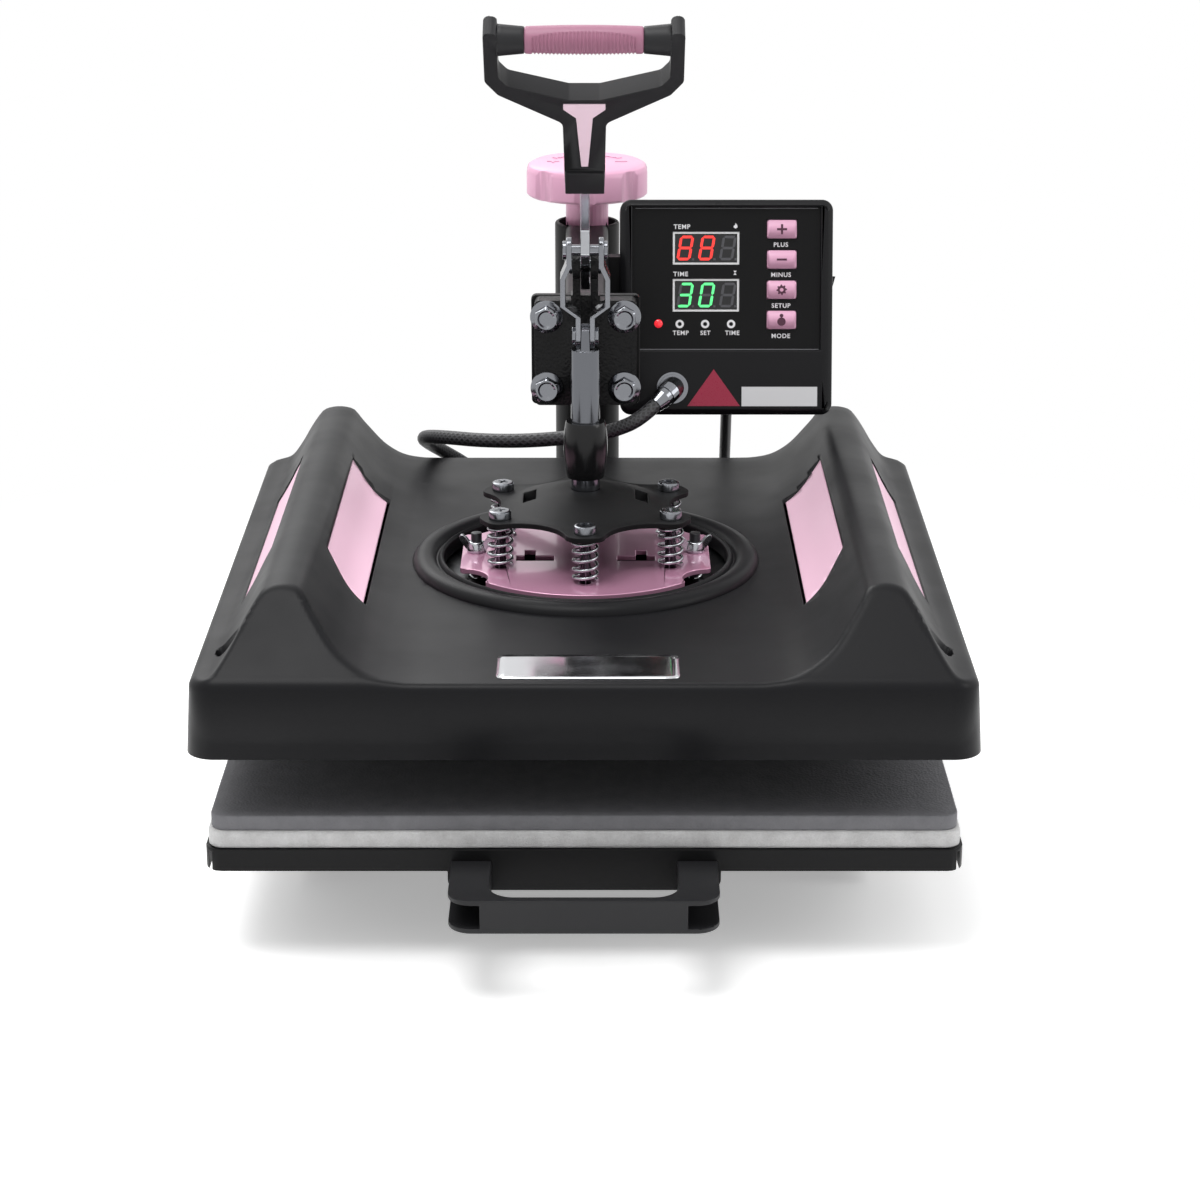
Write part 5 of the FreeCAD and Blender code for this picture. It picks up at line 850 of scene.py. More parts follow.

# Lever handle: a forked moulding of black ABS screwed to the bar, with a dyed strip let in along its
# front. The strip's pink is painted paler than the knob's, as a painted highlight for light on its
# face.
pink_moulding = moulded_plastic("pink_abs", "dfa8c4", 0.34)
worked_copy("handle_frame", "forked_handle", black_moulding, 0.4)
# The inlay's pale pink is a painted highlight.
worked_copy("handle_inlay", "pink_inlay", moulded_plastic("inlay_pink_painted_highlight", "f6d9e7", 0.34), 0.3)

# Grip: a moulded barrel between the fork's arms. Its front is ribbed below a curved line so
# that fingers don't slip.
grip_low, grip_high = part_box("grip_barrel")
grip_middle = (grip_low + grip_high) / 2 / MM
grip_half = 30.0
grip_end_radius = 6.8
grip_swell = 0.65
end_round = 0.8
rib_pitch = 1.9
rib_depth = 0.75
rib_zone = 26.5
rib_tilt = math.radians(19.0)
# The ribs end under an arch on the front and at a level line below, in degrees round the barrel.
arch_foot, arch_rise = -12.0, 35.0
arch_half = 27.0
ribs_lowest = -150.0
grip_around = 72
grip_along = 240


def grip_point(i, j):
    angle = 2 * math.pi * i / grip_around
    x = grip_half * (2 * j / grip_along - 1)
    share = abs(x) / grip_half
    reach = grip_end_radius + grip_swell * (1 - share**2)
    reach -= end_round * max(0.0, (share - 0.96) / 0.04) ** 2
    above = (math.degrees(angle - rib_tilt) + 180.0) % 360.0 - 180.0
    ribs_top = arch_foot + arch_rise * math.sqrt(max(0.0, 1.0 - (x / arch_half) ** 2))
    within = clipped((ribs_top - above) / 6.0) * clipped((above - ribs_lowest) / 8.0)
    within *= clipped((rib_zone - abs(x)) / 0.8)
    wave = 0.5 - 0.5 * math.cos(2 * math.pi * x / rib_pitch)
    reach -= rib_depth * within * wave**0.7
    return (x, grip_middle.y - reach * math.cos(angle), grip_middle.z + reach * math.sin(angle))


shape = bmesh.new()
formed_sheet(shape, grip_around, grip_along, grip_point)
bmesh.ops.remove_doubles(shape, verts=shape.verts, dist=same_spot)
bmesh.ops.holes_fill(shape, edges=[edge for edge in shape.edges if edge.is_boundary], sides=0)
# The grip's pink is painted darker than the knob's, as painted shade on the ribbed barrel.
grip = finished(shape, "ribbed_grip", moulded_plastic("grip_pink_painted_shade", "a26d84", 0.42), crease=40.0)
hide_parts("grip_barrel")
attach(grip, "lever")

# Knob: a thick moulded disc with eight soft lobes on a neck that clamps the pressure screw,
# with plus and minus marks and an arrow raised on its top.
worked_copy("pressure_knob", "lobed_knob", pink_moulding, 0.5)


def printed(name, outlines, low, high, place, material, body):
    """Flat marks with a little thickness, drawn in mm on a face and put in their place."""
    shape = bmesh.new()
    for outline in outlines:
        shape.faces.new([shape.verts.new((u * MM, v * MM, low * MM)) for u, v in outline])
    bmesh.ops.remove_doubles(shape, verts=shape.verts, dist=0.004 * MM)
    raised = bmesh.ops.extrude_face_region(shape, geom=shape.faces[:])
    tops = [item for item in raised["geom"] if isinstance(item, bmesh.types.BMVert)]
    bmesh.ops.translate(shape, vec=(0.0, 0.0, (high - low) * MM), verts=tops)
    bmesh.ops.transform(shape, matrix=place, verts=shape.verts)
    made = finished(shape, name, material, crease=30.0)
    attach(made, body)
    return made


def bar(u, v, wide, high):
    """The outline of a rectangle round a spot."""
    left, right = u - wide / 2, u + wide / 2
    low, top = v - high / 2, v + high / 2
    return [(left, low), (right, low), (right, top), (left, top)]


def on_circle(u, v, reach, turn):
    return (u + reach * math.cos(turn), v + reach * math.sin(turn))


def ring_band(u, v, outer, inner, start=0.0, end=360.0, steps=28):
    """A flat ring or a stretch of one, as its small four-sided pieces."""
    turns = [math.radians(start + (end - start) * k / steps) for k in range(steps + 1)]
    return [
        [
            on_circle(u, v, outer, a),
            on_circle(u, v, outer, b),
            on_circle(u, v, inner, b),
            on_circle(u, v, inner, a),
        ]
        for a, b in zip(turns, turns[1:])
    ]


post_y = 220.0
knob_top_z = 334.0
knob_top = seat_at(0.0, post_y, knob_top_z)
sign_side = 21.0
sign_span = 7.5
sign_stroke = 1.6
minus_mark = [bar(-sign_side, 0, sign_span, sign_stroke)]
plus_mark = [bar(sign_side, 0, sign_span, sign_stroke)]
plus_mark += [bar(sign_side, v, sign_stroke, 3.2) for v in (2.4, -2.4)]
arrow_heads = [
    [(18.6, -9.8), (17.3, -14.8), (21.6, -12.4)],
    [(-18.6, -9.8), (-21.6, -12.4), (-17.3, -14.8)],
]
knob_marks = minus_mark + plus_mark + ring_band(0, 0, 22.0, 20.6, 215, 325) + arrow_heads
marks = printed("knob_marks", knob_marks, -0.1, 0.45, knob_top, pink_moulding, "knob")

# Control box: two ABS shells, the front one with a slanted frame round the panel, screwed
# together over the board and held on the arm by its bracket.
box_moulding = moulded_plastic("box_abs", "151517", 0.3, shine=0.2)
worked_copy("box_rear_shell", "box_back", box_moulding, 0.7)
worked_copy("box_front_shell", "box_front", box_moulding, 0.8)
dress(black_moulding, "rocker_switch")
dress(bright_plate, "panel_socket")
dress(moulded_plastic("green_laminate", "2c6b3e", 0.4), "control_board")

# Panel: a printed polyester film on an ABS plate, with two windows over the displays and four
# openings for the buttons. Its words are plain control names, printed white.
panel_film = moulded_plastic("panel_film", "101011", 0.3, grain=0.9 * MM, shine=0.16)
dress(panel_film, "control_panel")
box_lean = math.radians(13.0)
face_x, face_y, face_z = 82.9, 117.0, 266.0
box_face = Matrix(
    (
        (1.0, 0.0, 0.0, face_x * MM),
        (0.0, math.sin(box_lean), -math.cos(box_lean), face_y * MM),
        (0.0, math.cos(box_lean), math.sin(box_lean), face_z * MM),
        (0.0, 0.0, 0.0, 1.0),
    )
)
panel_front = -3.0
under_print = panel_front - 0.02


def word(text, u, v, cap_height):
    """A word's outlines, its middle on a spot and its capitals as high as asked."""
    curve = bpy.data.curves.new("letters", "FONT")
    curve.body = text
    curve.resolution_u = 4
    curve.space_character = 1.14
    curve.offset = 0.018
    mesh = drawn_mesh(curve)
    spots = [vertex.co.copy() for vertex in mesh.vertices]
    low = Vector((min(p.x for p in spots), min(p.y for p in spots)))
    high = Vector((max(p.x for p in spots), max(p.y for p in spots)))
    middle_x, middle_y = (low.x + high.x) / 2, (low.y + high.y) / 2
    scale = cap_height / (high.y - low.y)
    outlines = [
        [
            (u + (spots[k].x - middle_x) * scale, v + (spots[k].y - middle_y) * scale)
            for k in polygon.vertices
        ]
        for polygon in mesh.polygons
    ]
    bpy.data.meshes.remove(mesh)
    return outlines


def ink(name, code, roughness=0.45, glow=0.0):
    """Screen ink or a lit segment: one even colour, softly matt, with faint pinholes."""
    material, tree = blank_material(name)
    spots = add_node(tree, "TexCoord").outputs["Object"]
    specks = add_node(tree, "TexNoise", Vector=spots, Scale=2.5 / MM, Detail=2.0)
    rough = add_node(
        tree,
        "MapRange",
        Value=specks.outputs["Fac"],
        To_Min=roughness - 0.1,
        To_Max=roughness + 0.1,
    )
    shader = add_node(
        tree,
        "BsdfPrincipled",
        Base_Color=linear(code),
        Roughness=rough.outputs["Result"],
        Emission_Color=linear(code),
        Emission_Strength=glow,
    )
    add_node(tree, "OutputMaterial", Surface=shader.outputs["BSDF"])
    return material


tall_capitals, low_capitals = 2.7, 2.6
panel_words = [
    ("TEMP", -26.4, 47.6, tall_capitals), ("TIME", -27.1, 19.8, tall_capitals),
    ("PLUS", 32.2, 37.1, tall_capitals), ("MINUS", 32.4, 19.4, tall_capitals),
    ("SETUP", 32.5, 1.2, tall_capitals), ("MODE", 32.5, -16.7, tall_capitals),
    ("TEMP", -27.0, -14.9, low_capitals), ("SET", -12.3, -14.9, low_capitals),
    ("TIME", 3.6, -14.9, low_capitals),
]
white_marks = []
for text, u, v, cap_height in panel_words:
    white_marks += word(text, u, v, cap_height)
round_mark_row = -9.7
for u in (-27.6, -12.5, 2.9):
    white_marks += ring_band(u, round_mark_row, outer=2.5, inner=1.2)
# A flame over the upper display and an hourglass over the lower one.
white_marks += [
    [(5.3, 46.5), (6.5, 47.3), (6.2, 48.6), (5.2, 49.8), (5.0, 48.5), (4.2, 48.2), (4.1, 47.2)],
    [(4.1, 21.7), (6.1, 21.7), (5.1, 20.5)],
    [(4.1, 19.3), (6.1, 19.3), (5.1, 20.5)],
]
white_ink = ink("white_screen_ink", "e8e8ea")
letters = printed(
    "panel_words", white_marks, under_print, panel_front + 0.07, box_face, white_ink, "arm"
)
thin_lines = [bar(0.0, -24.7, 110.0, 0.5), bar(0.0, 58.4, 108.0, 0.4)]
grey_ink = ink("grey_screen_ink", "77777b")
lines = printed(
    "panel_lines", thin_lines, under_print, panel_front + 0.05, box_face, grey_ink, "arm"
)

# Displays: two three-digit modules with white ABS frames, soldered on the board. Smoked
# windows lie over their digits.
display_white = moulded_plastic("white_display_frame", "e9e9ea", 0.35)
dress(display_white, "display_modules")
display_front = -3.3
digit_wide = 8.3
digit_high = 14.5
digit_stroke = 1.5
digit_slant = math.radians(9.5)


def seven_segment(lit, u, v):
    """The six-sided bars of a digit, by the letters that its segments go by."""
    half_w = digit_wide / 2 - digit_stroke / 2
    half_h = digit_high / 2 - digit_stroke / 2
    ends = {
        "a": ((-half_w, half_h), (half_w, half_h)),
        "b": ((half_w, half_h), (half_w, 0.0)),
        "c": ((half_w, 0.0), (half_w, -half_h)),
        "d": ((-half_w, -half_h), (half_w, -half_h)),
        "e": ((-half_w, 0.0), (-half_w, -half_h)),
        "f": ((-half_w, half_h), (-half_w, 0.0)),
        "g": ((-half_w, 0.0), (half_w, 0.0)),
    }
    outlines = []
    for name in lit:
        start, end = (Vector(spot) for spot in ends[name])
        along = (end - start).normalized()
        side = Vector((-along.y, along.x)) * (digit_stroke / 2)
        a, b = start + along * 0.15, end - along * 0.15
        a2, b2 = a + along * digit_stroke / 2, b - along * digit_stroke / 2
        hexagonal = [a, a2 + side, b2 + side, b, b2 - side, a2 - side]
        outlines.append([(u + p.x + p.y * math.tan(digit_slant), v + p.y) for p in hexagonal])
    return outlines


digit_places = (-24.4, -11.7, 0.8)
upper_display, lower_display = 35.1, 7.4
shown_digits = {upper_display: ("abcdefg", "abcdefg", ""), lower_display: ("abcdg", "abcdef", "")}
window_u, window_wide, window_high = -12.1, 36.9, 16.9
window_marks = [bar(window_u, v, window_wide, window_high) for v in (35.05, 7.35)]
window_back, window_front = display_front - 0.05, display_front + 0.12
smoked_glass = ink("smoked_window", "0c0c0e", 0.18)
windows = printed(
    "display_windows", window_marks, window_back, window_front, box_face, smoked_glass, "arm"
)
point_across, point_below, point_side = 4.6, 6.6, 1.3
unlit = []
lit_sets = {
    upper_display: ("red_segments", "ff3a34", []),
    lower_display: ("green_segments", "5df08a", []),
}
for level, digits in shown_digits.items():
    for u, lit in zip(digit_places, digits):
        lit_sets[level][2].extend(seven_segment(lit, u, level))
        dark = [name for name in "abcdefg" if name not in lit]
        unlit += seven_segment(dark, u, level)
        unlit.append(bar(u + point_across, level - point_below, point_side, point_side))
segment_back = display_front + 0.1
for name, code, outlines in lit_sets.values():
    glowing = ink(name, code, 0.4, 0.75)
    lit_bars = printed(name, outlines, segment_back, display_front + 0.17, box_face, glowing, "arm")
unlit_grey = ink("unlit_segments", "4b4b4f")
dark_bars = printed(
    "unlit_segments", unlit, segment_back, display_front + 0.16, box_face, unlit_grey, "arm"
)

# Heating light: a small domed lens of clear red acrylic over a lamp, pressed through the film
# beside the round marks.
lens_u, lens_v = -40.2, -9.5
lens_seat = box_face @ Matrix.Translation((lens_u * MM, lens_v * MM, panel_front * MM))
lens_line = [(0.0, -0.5), (2.5, -0.5), (2.5, 0.5), (2.2, 0.95), (1.5, 1.3), (0.7, 1.5), (0.0, 1.55)]
shape = bmesh.new()
turned(shape, 32, lens_line, lens_seat)
lens = finished(shape, "heating_light", ink("red_lens", "f0303a", 0.15, 0.6))
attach(lens, "arm")

# Plates on the panel's lower part: a triangle of red film and a rectangle of brushed foil,
# both self-adhesive and bare.
plate_back, plate_front = -0.3, 0.15
triangle = [(-7.4, -36.4), (-23.0, -58.2), (8.2, -58.2)]
red_film = ink("red_label_film", "9c1f3f", 0.3)
red_plate = printed("red_triangle", [triangle], plate_back, plate_front, box_face, red_film, "arm")
foil_strip = [(9.2, -58.3), (54.1, -58.3), (54.1, -46.8), (9.2, -46.8)]
brushed_foil = bare_metal("brushed_foil", "c6c6c8", 0.3, streak=(0.1, 3.0, 3.0))
silver_plate = printed(
    "silver_plate", [foil_strip], plate_back, plate_front, box_face, brushed_foil, "arm"
)

# Buttons: dyed ABS caps that slide in the film's openings, each with its sign printed dark on
# its face: a plus, a minus, a gear and a small figure.
sign_ink = ink("dark_sign_ink", "4a2036")
gear_steps = 32
tooth_reach, gap_reach, hub_reach = 3.15, 2.35, 1.1
gear_turns = [math.radians(360.0 / gear_steps * k) for k in range(gear_steps + 1)]
gear_rim = [
    on_circle(0.0, 0.0, tooth_reach if k % 4 in (0, 1) else gap_reach, gear_turns[k])
    for k in range(gear_steps)
]
gear_hub = [on_circle(0.0, 0.0, hub_reach, turn) for turn in gear_turns]
gear = [
    [gear_rim[k], gear_rim[(k + 1) % gear_steps], gear_hub[k + 1], gear_hub[k]]
    for k in range(gear_steps)
]
signs = {
    "plus": [bar(0, 0, 6.0, 1.3), bar(0, 1.825, 1.3, 2.35), bar(0, -1.825, 1.3, 2.35)],
    "minus": [bar(0, 0, 6.0, 1.2)],
    "setup": gear,
    "mode": ring_band(0, 2.6, 1.1, 0.0) + ring_band(0, -1.0, 2.5, 0.0),
}
button_u, button_v, button_pitch = 32.7, 46.1, 17.8
button_front = panel_front + 1.8
for k, (name, sign) in enumerate(signs.items()):
    worked_copy(name + "_button", name + "_cap", pink_moulding, None)
    place = (button_u * MM, (button_v - button_pitch * k) * MM, button_front * MM)
    spot = box_face @ Matrix.Translation(place)
    mark = printed(name + "_sign", sign, -0.05, 0.06, spot, sign_ink, name + "_key")

# Platen: cast aluminium with a black non-stick coat, its tubular element and probe let into
# its back, and the fibre board on them that keeps the heat down.
dress(bare_metal("nickel_sheath", "8d8984", 0.45), "heating_element", "temperature_probe")
non_stick = moulded_plastic("non_stick_coat", "2b2b2d", 0.45)
worked_copy("heating_platen", "coated_platen", non_stick, 0.8)
board_low, board_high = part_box("insulation_board")
board_corner = 6.0 * MM
board = soft_layer(
    "fibre_board", board_low, board_high, board_corner, rim=0.8 * MM, waver=0.4 * MM, seed=9
)
board.data.materials.append(pressed_felt("ceramic_fibre", "d8d2c2", "f2eee2"))
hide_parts("insulation_board")
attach(board, "platen")

# Floor plate and spring plate: the first is plain sheet under the cover's ring, the second a
# pressed disc in glossy coloured enamel that two wing nuts hold down.
worked_copy("floor_plate", "pressed_floor", bare_metal("dark_sheet", "3a3b3d", 0.38), 0.3)


def gloss_paint(name, code):
    """Gloss enamel over smooth steel: clear mirror-like coat over an even colour."""
    material, tree = blank_material(name)
    spots = add_node(tree, "TexCoord").outputs["Object"]
    peel = add_node(tree, "TexNoise", Vector=spots, Scale=0.26 / MM, Detail=2.0)
    relief = add_node(tree, "Bump", Strength=0.12, Distance=0.3 * MM, Height=peel.outputs["Fac"])
    shader = add_node(
        tree,
        "BsdfPrincipled",
        Base_Color=linear(code),
        Metallic=0.35,
        Roughness=0.2,
        Coat_Weight=0.8,
        Coat_Roughness=0.06,
        Normal=relief.outputs["Normal"],
    )
    add_node(tree, "OutputMaterial", Surface=shader.outputs["BSDF"])
    return material


pink_enamel = gloss_paint("pink_gloss_enamel", "d49ab8")
worked_copy("spring_plate", "enamelled_spring_plate", pink_enamel, 0.5)

# Wing nuts: cast and zinc plated, a round hub with two wings that lean outward. They sit on
# the floor plate's studs and hold the spring plate down.
stud_side = 61.0
nut_seat = 159.0
nut_turned = 12.0
wing_half = 1.3
wing_outline = [
    (3.4, 0.6), (5.4, 0.9), (7.6, 3.6), (9.4, 6.4), (9.75, 8.2), (9.0, 9.4), (7.4, 9.3),
    (5.6, 7.9), (4.2, 6.0), (3.4, 5.6),
]
hub_line = [
    (2.9, 0.0), (5.3, 0.0), (5.5, 0.4), (5.0, 2.6), (4.5, 4.8), (4.2, 5.6), (3.7, 6.0),
    (2.9, 6.0), (2.9, 0.0),
]
shape = bmesh.new()
for side in (-1, 1):
    turn = Matrix.Rotation(math.radians(nut_turned * side), 4, "Z")
    seat = seat_at(side * stud_side, head_y, nut_seat) @ turn
    turned(shape, 40, hub_line, seat)
    for hand in (-1, 1):
        rims = [
            [shape.verts.new(seat @ (Vector((hand * x, y, z)) * MM)) for x, z in wing_outline]
            for y in (-wing_half, wing_half)
        ]
        front, back = (shape.faces.new(rim) for rim in rims)
        bmesh.ops.bridge_loops(shape, edges=front.edges[:] + back.edges[:])
nuts = finished(shape, "cast_wing_nuts", bare_metal("cast_zinc_plate", "b0b2b6", 0.22), crease=40.0)
ease_edges(nuts, 0.35, least_turn=50.0, clamped=True)
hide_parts("wing_nuts")
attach(nuts, "platen")

# Spider: a pressed steel plate with a dome and six lobes, coated black. The plunger pushes on
# its middle, and it slides on six shoulder screws.
spider_coat = powder_coat("spider_coat", "161617", 0.5 * MM, 0.5)
worked_copy("spider_plate", "pressed_spider", spider_coat, 0.5)

# Shoulder screws: zinc-plated steel with round heads and a cross recess, one over each of the
# six springs.
screw_circle = 54.0
screw_seat = 187.0
screw_turns = [math.radians(90.0 + 60.0 * k) for k in range(6)]
worked_copy("spring_screws", "shoulder_shanks", bright_plate, None, lose=lambda at: at.z > 187.2)


def cross_reach(arm, half):
    """The reach of a cross recess at an angle."""

    def reach(angle):
        lean = abs((angle + math.pi / 4) % (math.pi / 2) - math.pi / 4)
        if arm * math.tan(lean) <= half:
            return arm / math.cos(lean)
        return half / math.sin(lean)

    return reach


cheese_head = [
    (0.0, 0.0), (6.0, 0.0), (6.15, 0.2), (6.15, 3.5), (5.95, 4.1), (5.4, 4.5), (4.6, 4.6),
    (3.6, 4.6), (cross_reach(3.1, 0.75), 4.6), (cross_reach(2.2, 0.5), 2.6), (0.0, 2.4),
]
shape = bmesh.new()
for k, turn in enumerate(screw_turns):
    x, y = on_circle(0.0, head_y, screw_circle, turn)
    driven = Matrix.Rotation(0.4 + 0.7 * k, 4, "Z")
    turned(shape, 64, cheese_head, seat_at(x, y, screw_seat) @ driven)
cheese_heads = finished(shape, "cheese_heads", bright_plate, crease=30.0)
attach(cheese_heads, rides["spring_screws"])

# Floor screws: domed cross-head screws of nickel-plated steel that hold the floor plate, beside
# each wing nut.
floor_screw_seat = 148.05
floor_screw_rows = (-32.0, -8.0)
worked_copy("floor_screws", "floor_screw_shanks", bright_plate, None, lose=lambda at: at.z > 148.4)
dome_head = [
    (0.0, 0.0), (4.6, 0.0), (4.7, 0.4), (4.4, 1.3), (3.7, 2.0), (2.7, 2.45),
    (cross_reach(2.3, 0.55), 2.6), (cross_reach(1.5, 0.35), 1.5), (0.0, 1.4),
]
shape = bmesh.new()
for side in (-1, 1):
    for y in floor_screw_rows:
        driven = Matrix.Rotation(0.6 * side + y, 4, "Z")
        turned(shape, 48, dome_head, seat_at(side * stud_side, y, floor_screw_seat) @ driven)
dome_heads = finished(shape, "dome_heads", bare_metal("nickel_plate", "b4b5b8", 0.2), crease=30.0)
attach(dome_heads, "platen")

# Pressure springs: six coils of round music wire, ground flat at their ends. They stand round
# the shoulder screws between the spring plate and the spider.
spring_wire = 1.9
spring_mean = 6.55
spring_turns = 5.0
spring_floor = 158.97
spring_roof = 183.97
end_gap = 0.1
points_a_turn = 16
springs = bpy.data.curves.new("springs", "CURVE")
springs.dimensions = "3D"
springs.bevel_depth = spring_wire / 2 * MM
springs.bevel_resolution = 2
springs.use_fill_caps = True
wire_low = spring_floor + spring_wire / 2 + end_gap
wire_high = spring_roof - spring_wire / 2 - end_gap
last = int(spring_turns * points_a_turn)
for turn in screw_turns:
    mid_x, mid_y = on_circle(0.0, head_y, screw_circle, turn)
    coil = []
    for i in range(last + 1):
        share = i / last
        # The end turns lie flat against the plates, so the rise starts and ends gently.
        rise = share - 0.7 / spring_turns * math.sin(2 * math.pi * share) / (2 * math.pi)
        x, y = on_circle(mid_x, mid_y, spring_mean, 2 * math.pi * spring_turns * share)
        coil.append((x, y, wire_low + (wire_high - wire_low) * rise))
    add_route(springs, coil, 2)
spring_mesh = drawn_mesh(springs)
spring_mesh.shade_smooth()
spring_mesh.materials.clear()
spring_mesh.materials.append(bare_metal("spring_wire", "a9abaf", 0.18))
spring_set = linked(spring_mesh, "wire_springs")
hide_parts("pressure_springs")
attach(spring_set, "plunger")
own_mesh(spring_set)

# Cover: one moulding of heat-proof black plastic over the platen, with a ridge along each
# side that slants down at the front, a drafted skirt and windows for the grip inserts.
cover_floor = 114.574
top_half = 198.0
skirt_half = 200.0
cover_corner = 15.0
edge_round = 4.5
valley_rise = 38.4
crest_ease, foot_ease = 3.0, 5.0
valley_slope = 0.01
nose_slope = 0.8
nose_start = -197.0
hollow_x, hollow_along = 181.0, -160.0
hollow_lean = math.radians(24.0)
hollow_half_width, hollow_half_length = 4.4, 10.5
hollow_depth = 6.0
opening_radius = 82.0
ridge_section = [
    (0, 33.0), (8, 37.5), (14, 41.0), (18, 45.4), (24, 54.0), (29, 62.5), (33, 68.5), (37, 73.2),
    (42, 75.1), (47, 75.6), (51.5, 75.1), (56, 73.4), (61, 67.0), (64, 63.4), (74, 52.4),
    (84.5, 45.4), (95, 41.0), (110, 36.0),
]


def along_section(section, at):
    """Reads a smooth curve through a section's points."""
    at = min(max(at, section[0][0]), section[-1][0])
    k = next(n for n in range(len(section) - 1) if at <= section[n + 1][0])
    (x1, y1), (x2, y2) = section[k], section[k + 1]
    before = section[max(0, k - 1)]
    after = section[min(len(section) - 1, k + 2)]
    lean1 = (y2 - before[1]) / (x2 - before[0])
    lean2 = (after[1] - y1) / (after[0] - x1)
    t = (at - x1) / (x2 - x1)
    span = x2 - x1
    return (
        y1 * (1 + 2 * t) * (1 - t) ** 2
        + lean1 * span * t * (1 - t) ** 2
        + y2 * t * t * (3 - 2 * t)
        - lean2 * span * t * t * (1 - t)
    )


def soft_least(a, b, ease):
    """The lesser of two heights, with a round change from one to the other."""
    near = max(ease - abs(a - b), 0.0) / ease
    return min(a, b) - near * near * ease / 4


def cover_rise(x, along):
    """How high the cover stands over the platen's face at a spot."""
    flat = valley_rise + (along + skirt_half) * valley_slope
    slant = valley_rise + (along - nose_start) * nose_slope
    ridge = soft_least(along_section(ridge_section, skirt_half - abs(x)), slant, crest_ease)
    # A slanted almond hollow is sunk in each ridge's foot near its front corner.
    across, back = abs(x) - hollow_x, along - hollow_along
    wide = (across * math.cos(hollow_lean) - back * math.sin(hollow_lean)) / hollow_half_width
    long = (across * math.sin(hollow_lean) + back * math.cos(hollow_lean)) / hollow_half_length
    share = clipped((1.2 - math.hypot(wide, long)) / 0.4)
    hollow = hollow_depth * share * share * (3 - 2 * share)
    return -soft_least(-ridge, -flat, foot_ease) - hollow


def round_cornered(x, y, half_x, half_y, corner):
    """Moves a point of a square outline's grid on to the outline with round corners."""
    over_x = abs(x) - (half_x - corner)
    over_y = abs(y) - (half_y - corner)
    if over_x <= 0 or over_y <= 0:
        return x, y
    if over_x >= over_y:
        reach, angle = over_x, math.pi / 4 * over_y / over_x
    else:
        reach, angle = over_y, math.pi / 2 - math.pi / 4 * over_x / over_y
    return (
        math.copysign(half_x - corner + reach * math.cos(angle), x),
        math.copysign(half_y - corner + reach * math.sin(angle), y),
    )


# The grid's lines, in mm from a side: close over the rim and the ridges, far apart between.
rim_steps = [edge_round * (1 - math.sin(math.radians(turn))) for turn in range(90, -1, -15)]
ridge_steps = [edge_round + 1.1 * k for k in range(1, 20)]
ridge_steps += [ridge_steps[-1] + 2.2 * k for k in range(1, 34)]
middle_steps = [101.0 + 7.4 * k for k in range(1, 14)]
all_steps = rim_steps + ridge_steps + middle_steps
columns = [top_half - step for step in all_steps if step < top_half - 1]
columns = [-x for x in columns] + [0.0] + columns[::-1]
front_steps = [edge_round + 1.0 * k for k in range(1, 57)]
rows = [-top_half + step for step in rim_steps + front_steps]
rows += [-128.0 + 8.0 * k for k in range(40)]
rows += [top_half - step for step in rim_steps[::-1]]


def cover_point(i, j):
    x, along = columns[i], rows[j]
    inside = min(top_half - abs(x), top_half - abs(along))
    drop = 0.0
    if inside < edge_round:
        drop = edge_round * (1 - math.sqrt(max(0.0, 1 - (1 - inside / edge_round) ** 2)))
    x, along = round_cornered(x, along, top_half, top_half, cover_corner)
    return (x, head_y + along, cover_floor + cover_rise(x, along) - drop)


slope_sides = (12.0, 104.0)
slope_ends = (-125.0, 130.0)
slope_rises = (40.0, 71.0)


def slope_faces(shape):
    """The faces of both slopes of each ridge, between its foot and its crest."""
    chosen = []
    for face in shape.faces:
        at = face.calc_center_median() / MM
        places = (skirt_half - abs(at.x), at.y - head_y, at.z - cover_floor)
        limits = (slope_sides, slope_ends, slope_rises)
        if all(low < place < high for place, (low, high) in zip(places, limits)):
            chosen.append(face)
    return chosen


def cut_window(shape, window):
    """Cuts the sides of a grip window into the ridges' slopes and gives the faces inside it."""
    sides = list(zip(window, window[1:] + window[:1]))
    for (along_1, rise_1), (along_2, rise_2) in sides:
        zone = slope_faces(shape)
        edges = list({edge for face in zone for edge in face.edges})
        verts = list({vertex for face in zone for vertex in face.verts})
        bmesh.ops.bisect_plane(
            shape,
            geom=zone + edges + verts,
            plane_co=Vector((0.0, head_y + along_1, cover_floor + rise_1)) * MM,
            plane_no=Vector((0.0, rise_2 - rise_1, along_1 - along_2)).normalized(),
        )
    inside = []
    for face in slope_faces(shape):
        at = face.calc_center_median() / MM
        y, z = at.y - head_y, at.z - cover_floor
        if all((b[0] - a[0]) * (z - a[1]) - (b[1] - a[1]) * (y - a[0]) > 0 for a, b in sides):
            inside.append(face)
    return inside


def give_wall(made, thickness, offset=-1.0):
    """Gives a skin its wall, in mm: inward from the skin at -1, outward at 1."""
    wall = made.modifiers.new("wall", "SOLIDIFY")
    wall.thickness = thickness * MM
    wall.offset = offset


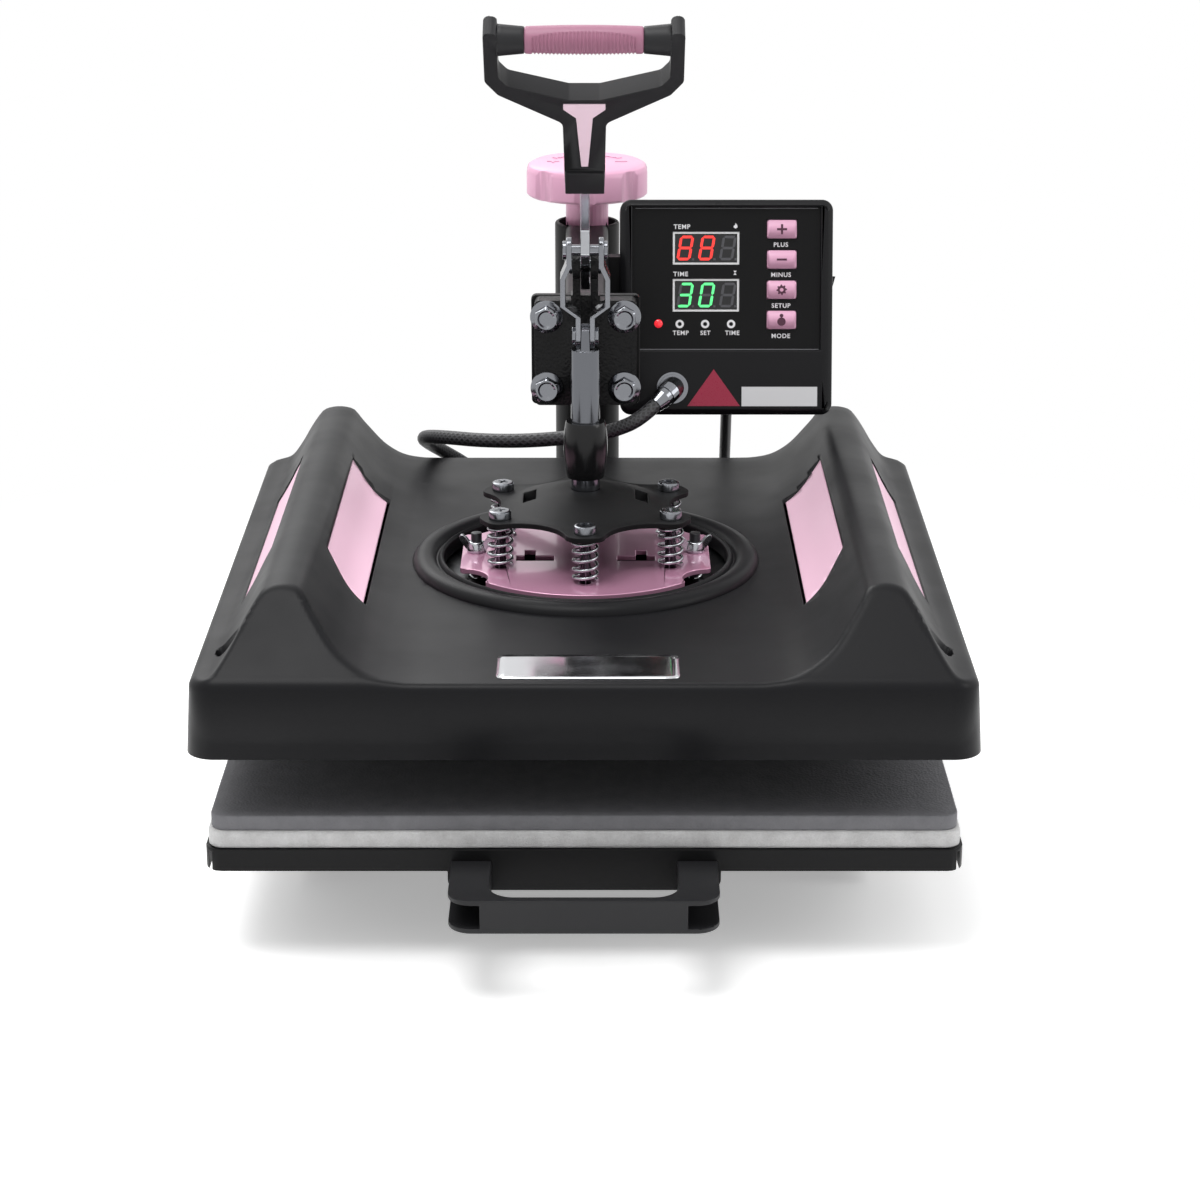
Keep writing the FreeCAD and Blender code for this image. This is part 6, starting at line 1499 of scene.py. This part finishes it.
cover_plastic = moulded_plastic("platen_cover_abs", "171719", 0.38, grain=0.8 * MM, shine=0.14)
grip_window = [(-95, 45.4), (89, 45.4), (113, 66.4), (-60, 66.4)]
shape = bmesh.new()
formed_sheet(shape, len(columns) - 1, len(rows) - 1, cover_point)
bmesh.ops.recalc_face_normals(shape, faces=shape.faces)
rim = [edge for edge in shape.edges if edge.is_boundary]
hem = bmesh.ops.extrude_edge_only(shape, edges=rim)
for item in hem["geom"]:
    if isinstance(item, bmesh.types.BMVert):
        item.co.x *= skirt_half / top_half
        item.co.y = (item.co.y - head_y * MM) * skirt_half / top_half + head_y * MM
        item.co.z = cover_floor * MM
bmesh.ops.delete(shape, geom=cut_window(shape, grip_window), context="FACES")
opened = [
    vertex
    for vertex in shape.verts
    if math.hypot(vertex.co.x, vertex.co.y - head_y * MM) < opening_radius * MM
]
bmesh.ops.delete(shape, geom=opened, context="VERTS")
cover = finished(shape, "moulded_cover", cover_plastic, crease=32.0)
give_wall(cover, 2.4)
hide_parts("platen_cover")
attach(cover, "platen")

# Ring: the cover's round opening ends in a broad bead with a thin lip inside it, moulded with
# the cover and of its plastic.
ring_line = [
    (97.5, 150.0), (97.2, 154.6), (96.4, 156.6), (94.8, 158.4), (92.6, 159.5), (90.0, 159.9),
    (87.4, 159.6), (85.2, 158.5), (84.0, 157.0), (83.4, 156.2), (82.6, 156.2), (82.1, 156.9),
    (81.6, 158.0), (80.7, 158.5), (79.7, 158.1), (79.2, 157.0), (79.0, 150.0), (97.5, 150.0),
]
shape = bmesh.new()
turned(shape, 128, ring_line, seat_at(0.0, head_y, 0.0))
ring = finished(shape, "cover_ring", cover_plastic, crease=50.0)
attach(ring, "platen")

# Grip inserts: dyed ABS mouldings snapped into the ridges' windows from inside, a little below
# the slopes, with a narrow gap all round.
insert_outline = [(-93.2, 46.2), (88.6, 46.2), (110.8, 65.6), (-59.6, 65.6)]
insert_sink = 0.7
shape = bmesh.new()
formed_sheet(shape, len(columns) - 1, len(rows) - 1, cover_point)
bmesh.ops.recalc_face_normals(shape, faces=shape.faces)
kept = set(cut_window(shape, insert_outline))
bmesh.ops.delete(shape, geom=[face for face in shape.faces if face not in kept], context="FACES")
shape.normal_update()
for vertex in shape.verts:
    vertex.co -= vertex.normal * insert_sink * MM
inserts = finished(shape, "insert_faces", moulded_plastic("insert_abs", "e9bdd2", 0.38), crease=40.0)
give_wall(inserts, 2.0)
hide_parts("grip_inserts")
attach(inserts, "platen")

# Foil plate: a bright bare label of polished aluminium foil, stuck on the cover's front valley
# and bent with it.
foil_x, foil_along = 2.0, -171.5
foil_half_x, foil_half_y = 46.0, 17.0
foil_corner = 3.0
foil_columns, foil_rows = 20, 10


def foil_point(i, j):
    u = (i / foil_columns * 2 - 1) * foil_half_x
    v = (j / foil_rows * 2 - 1) * foil_half_y
    u, v = round_cornered(u, v, foil_half_x, foil_half_y, foil_corner)
    x, along = foil_x + u, foil_along + v
    return (x, head_y + along, cover_floor + cover_rise(x, along) + 0.1)


shape = bmesh.new()
formed_sheet(shape, foil_columns, foil_rows, foil_point)
foil_label = finished(shape, "foil_plate", bare_metal("mirror_foil", "d4d5d8", 0.12), crease=40.0)
give_wall(foil_label, 0.25, offset=1.0)
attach(foil_label, "platen")
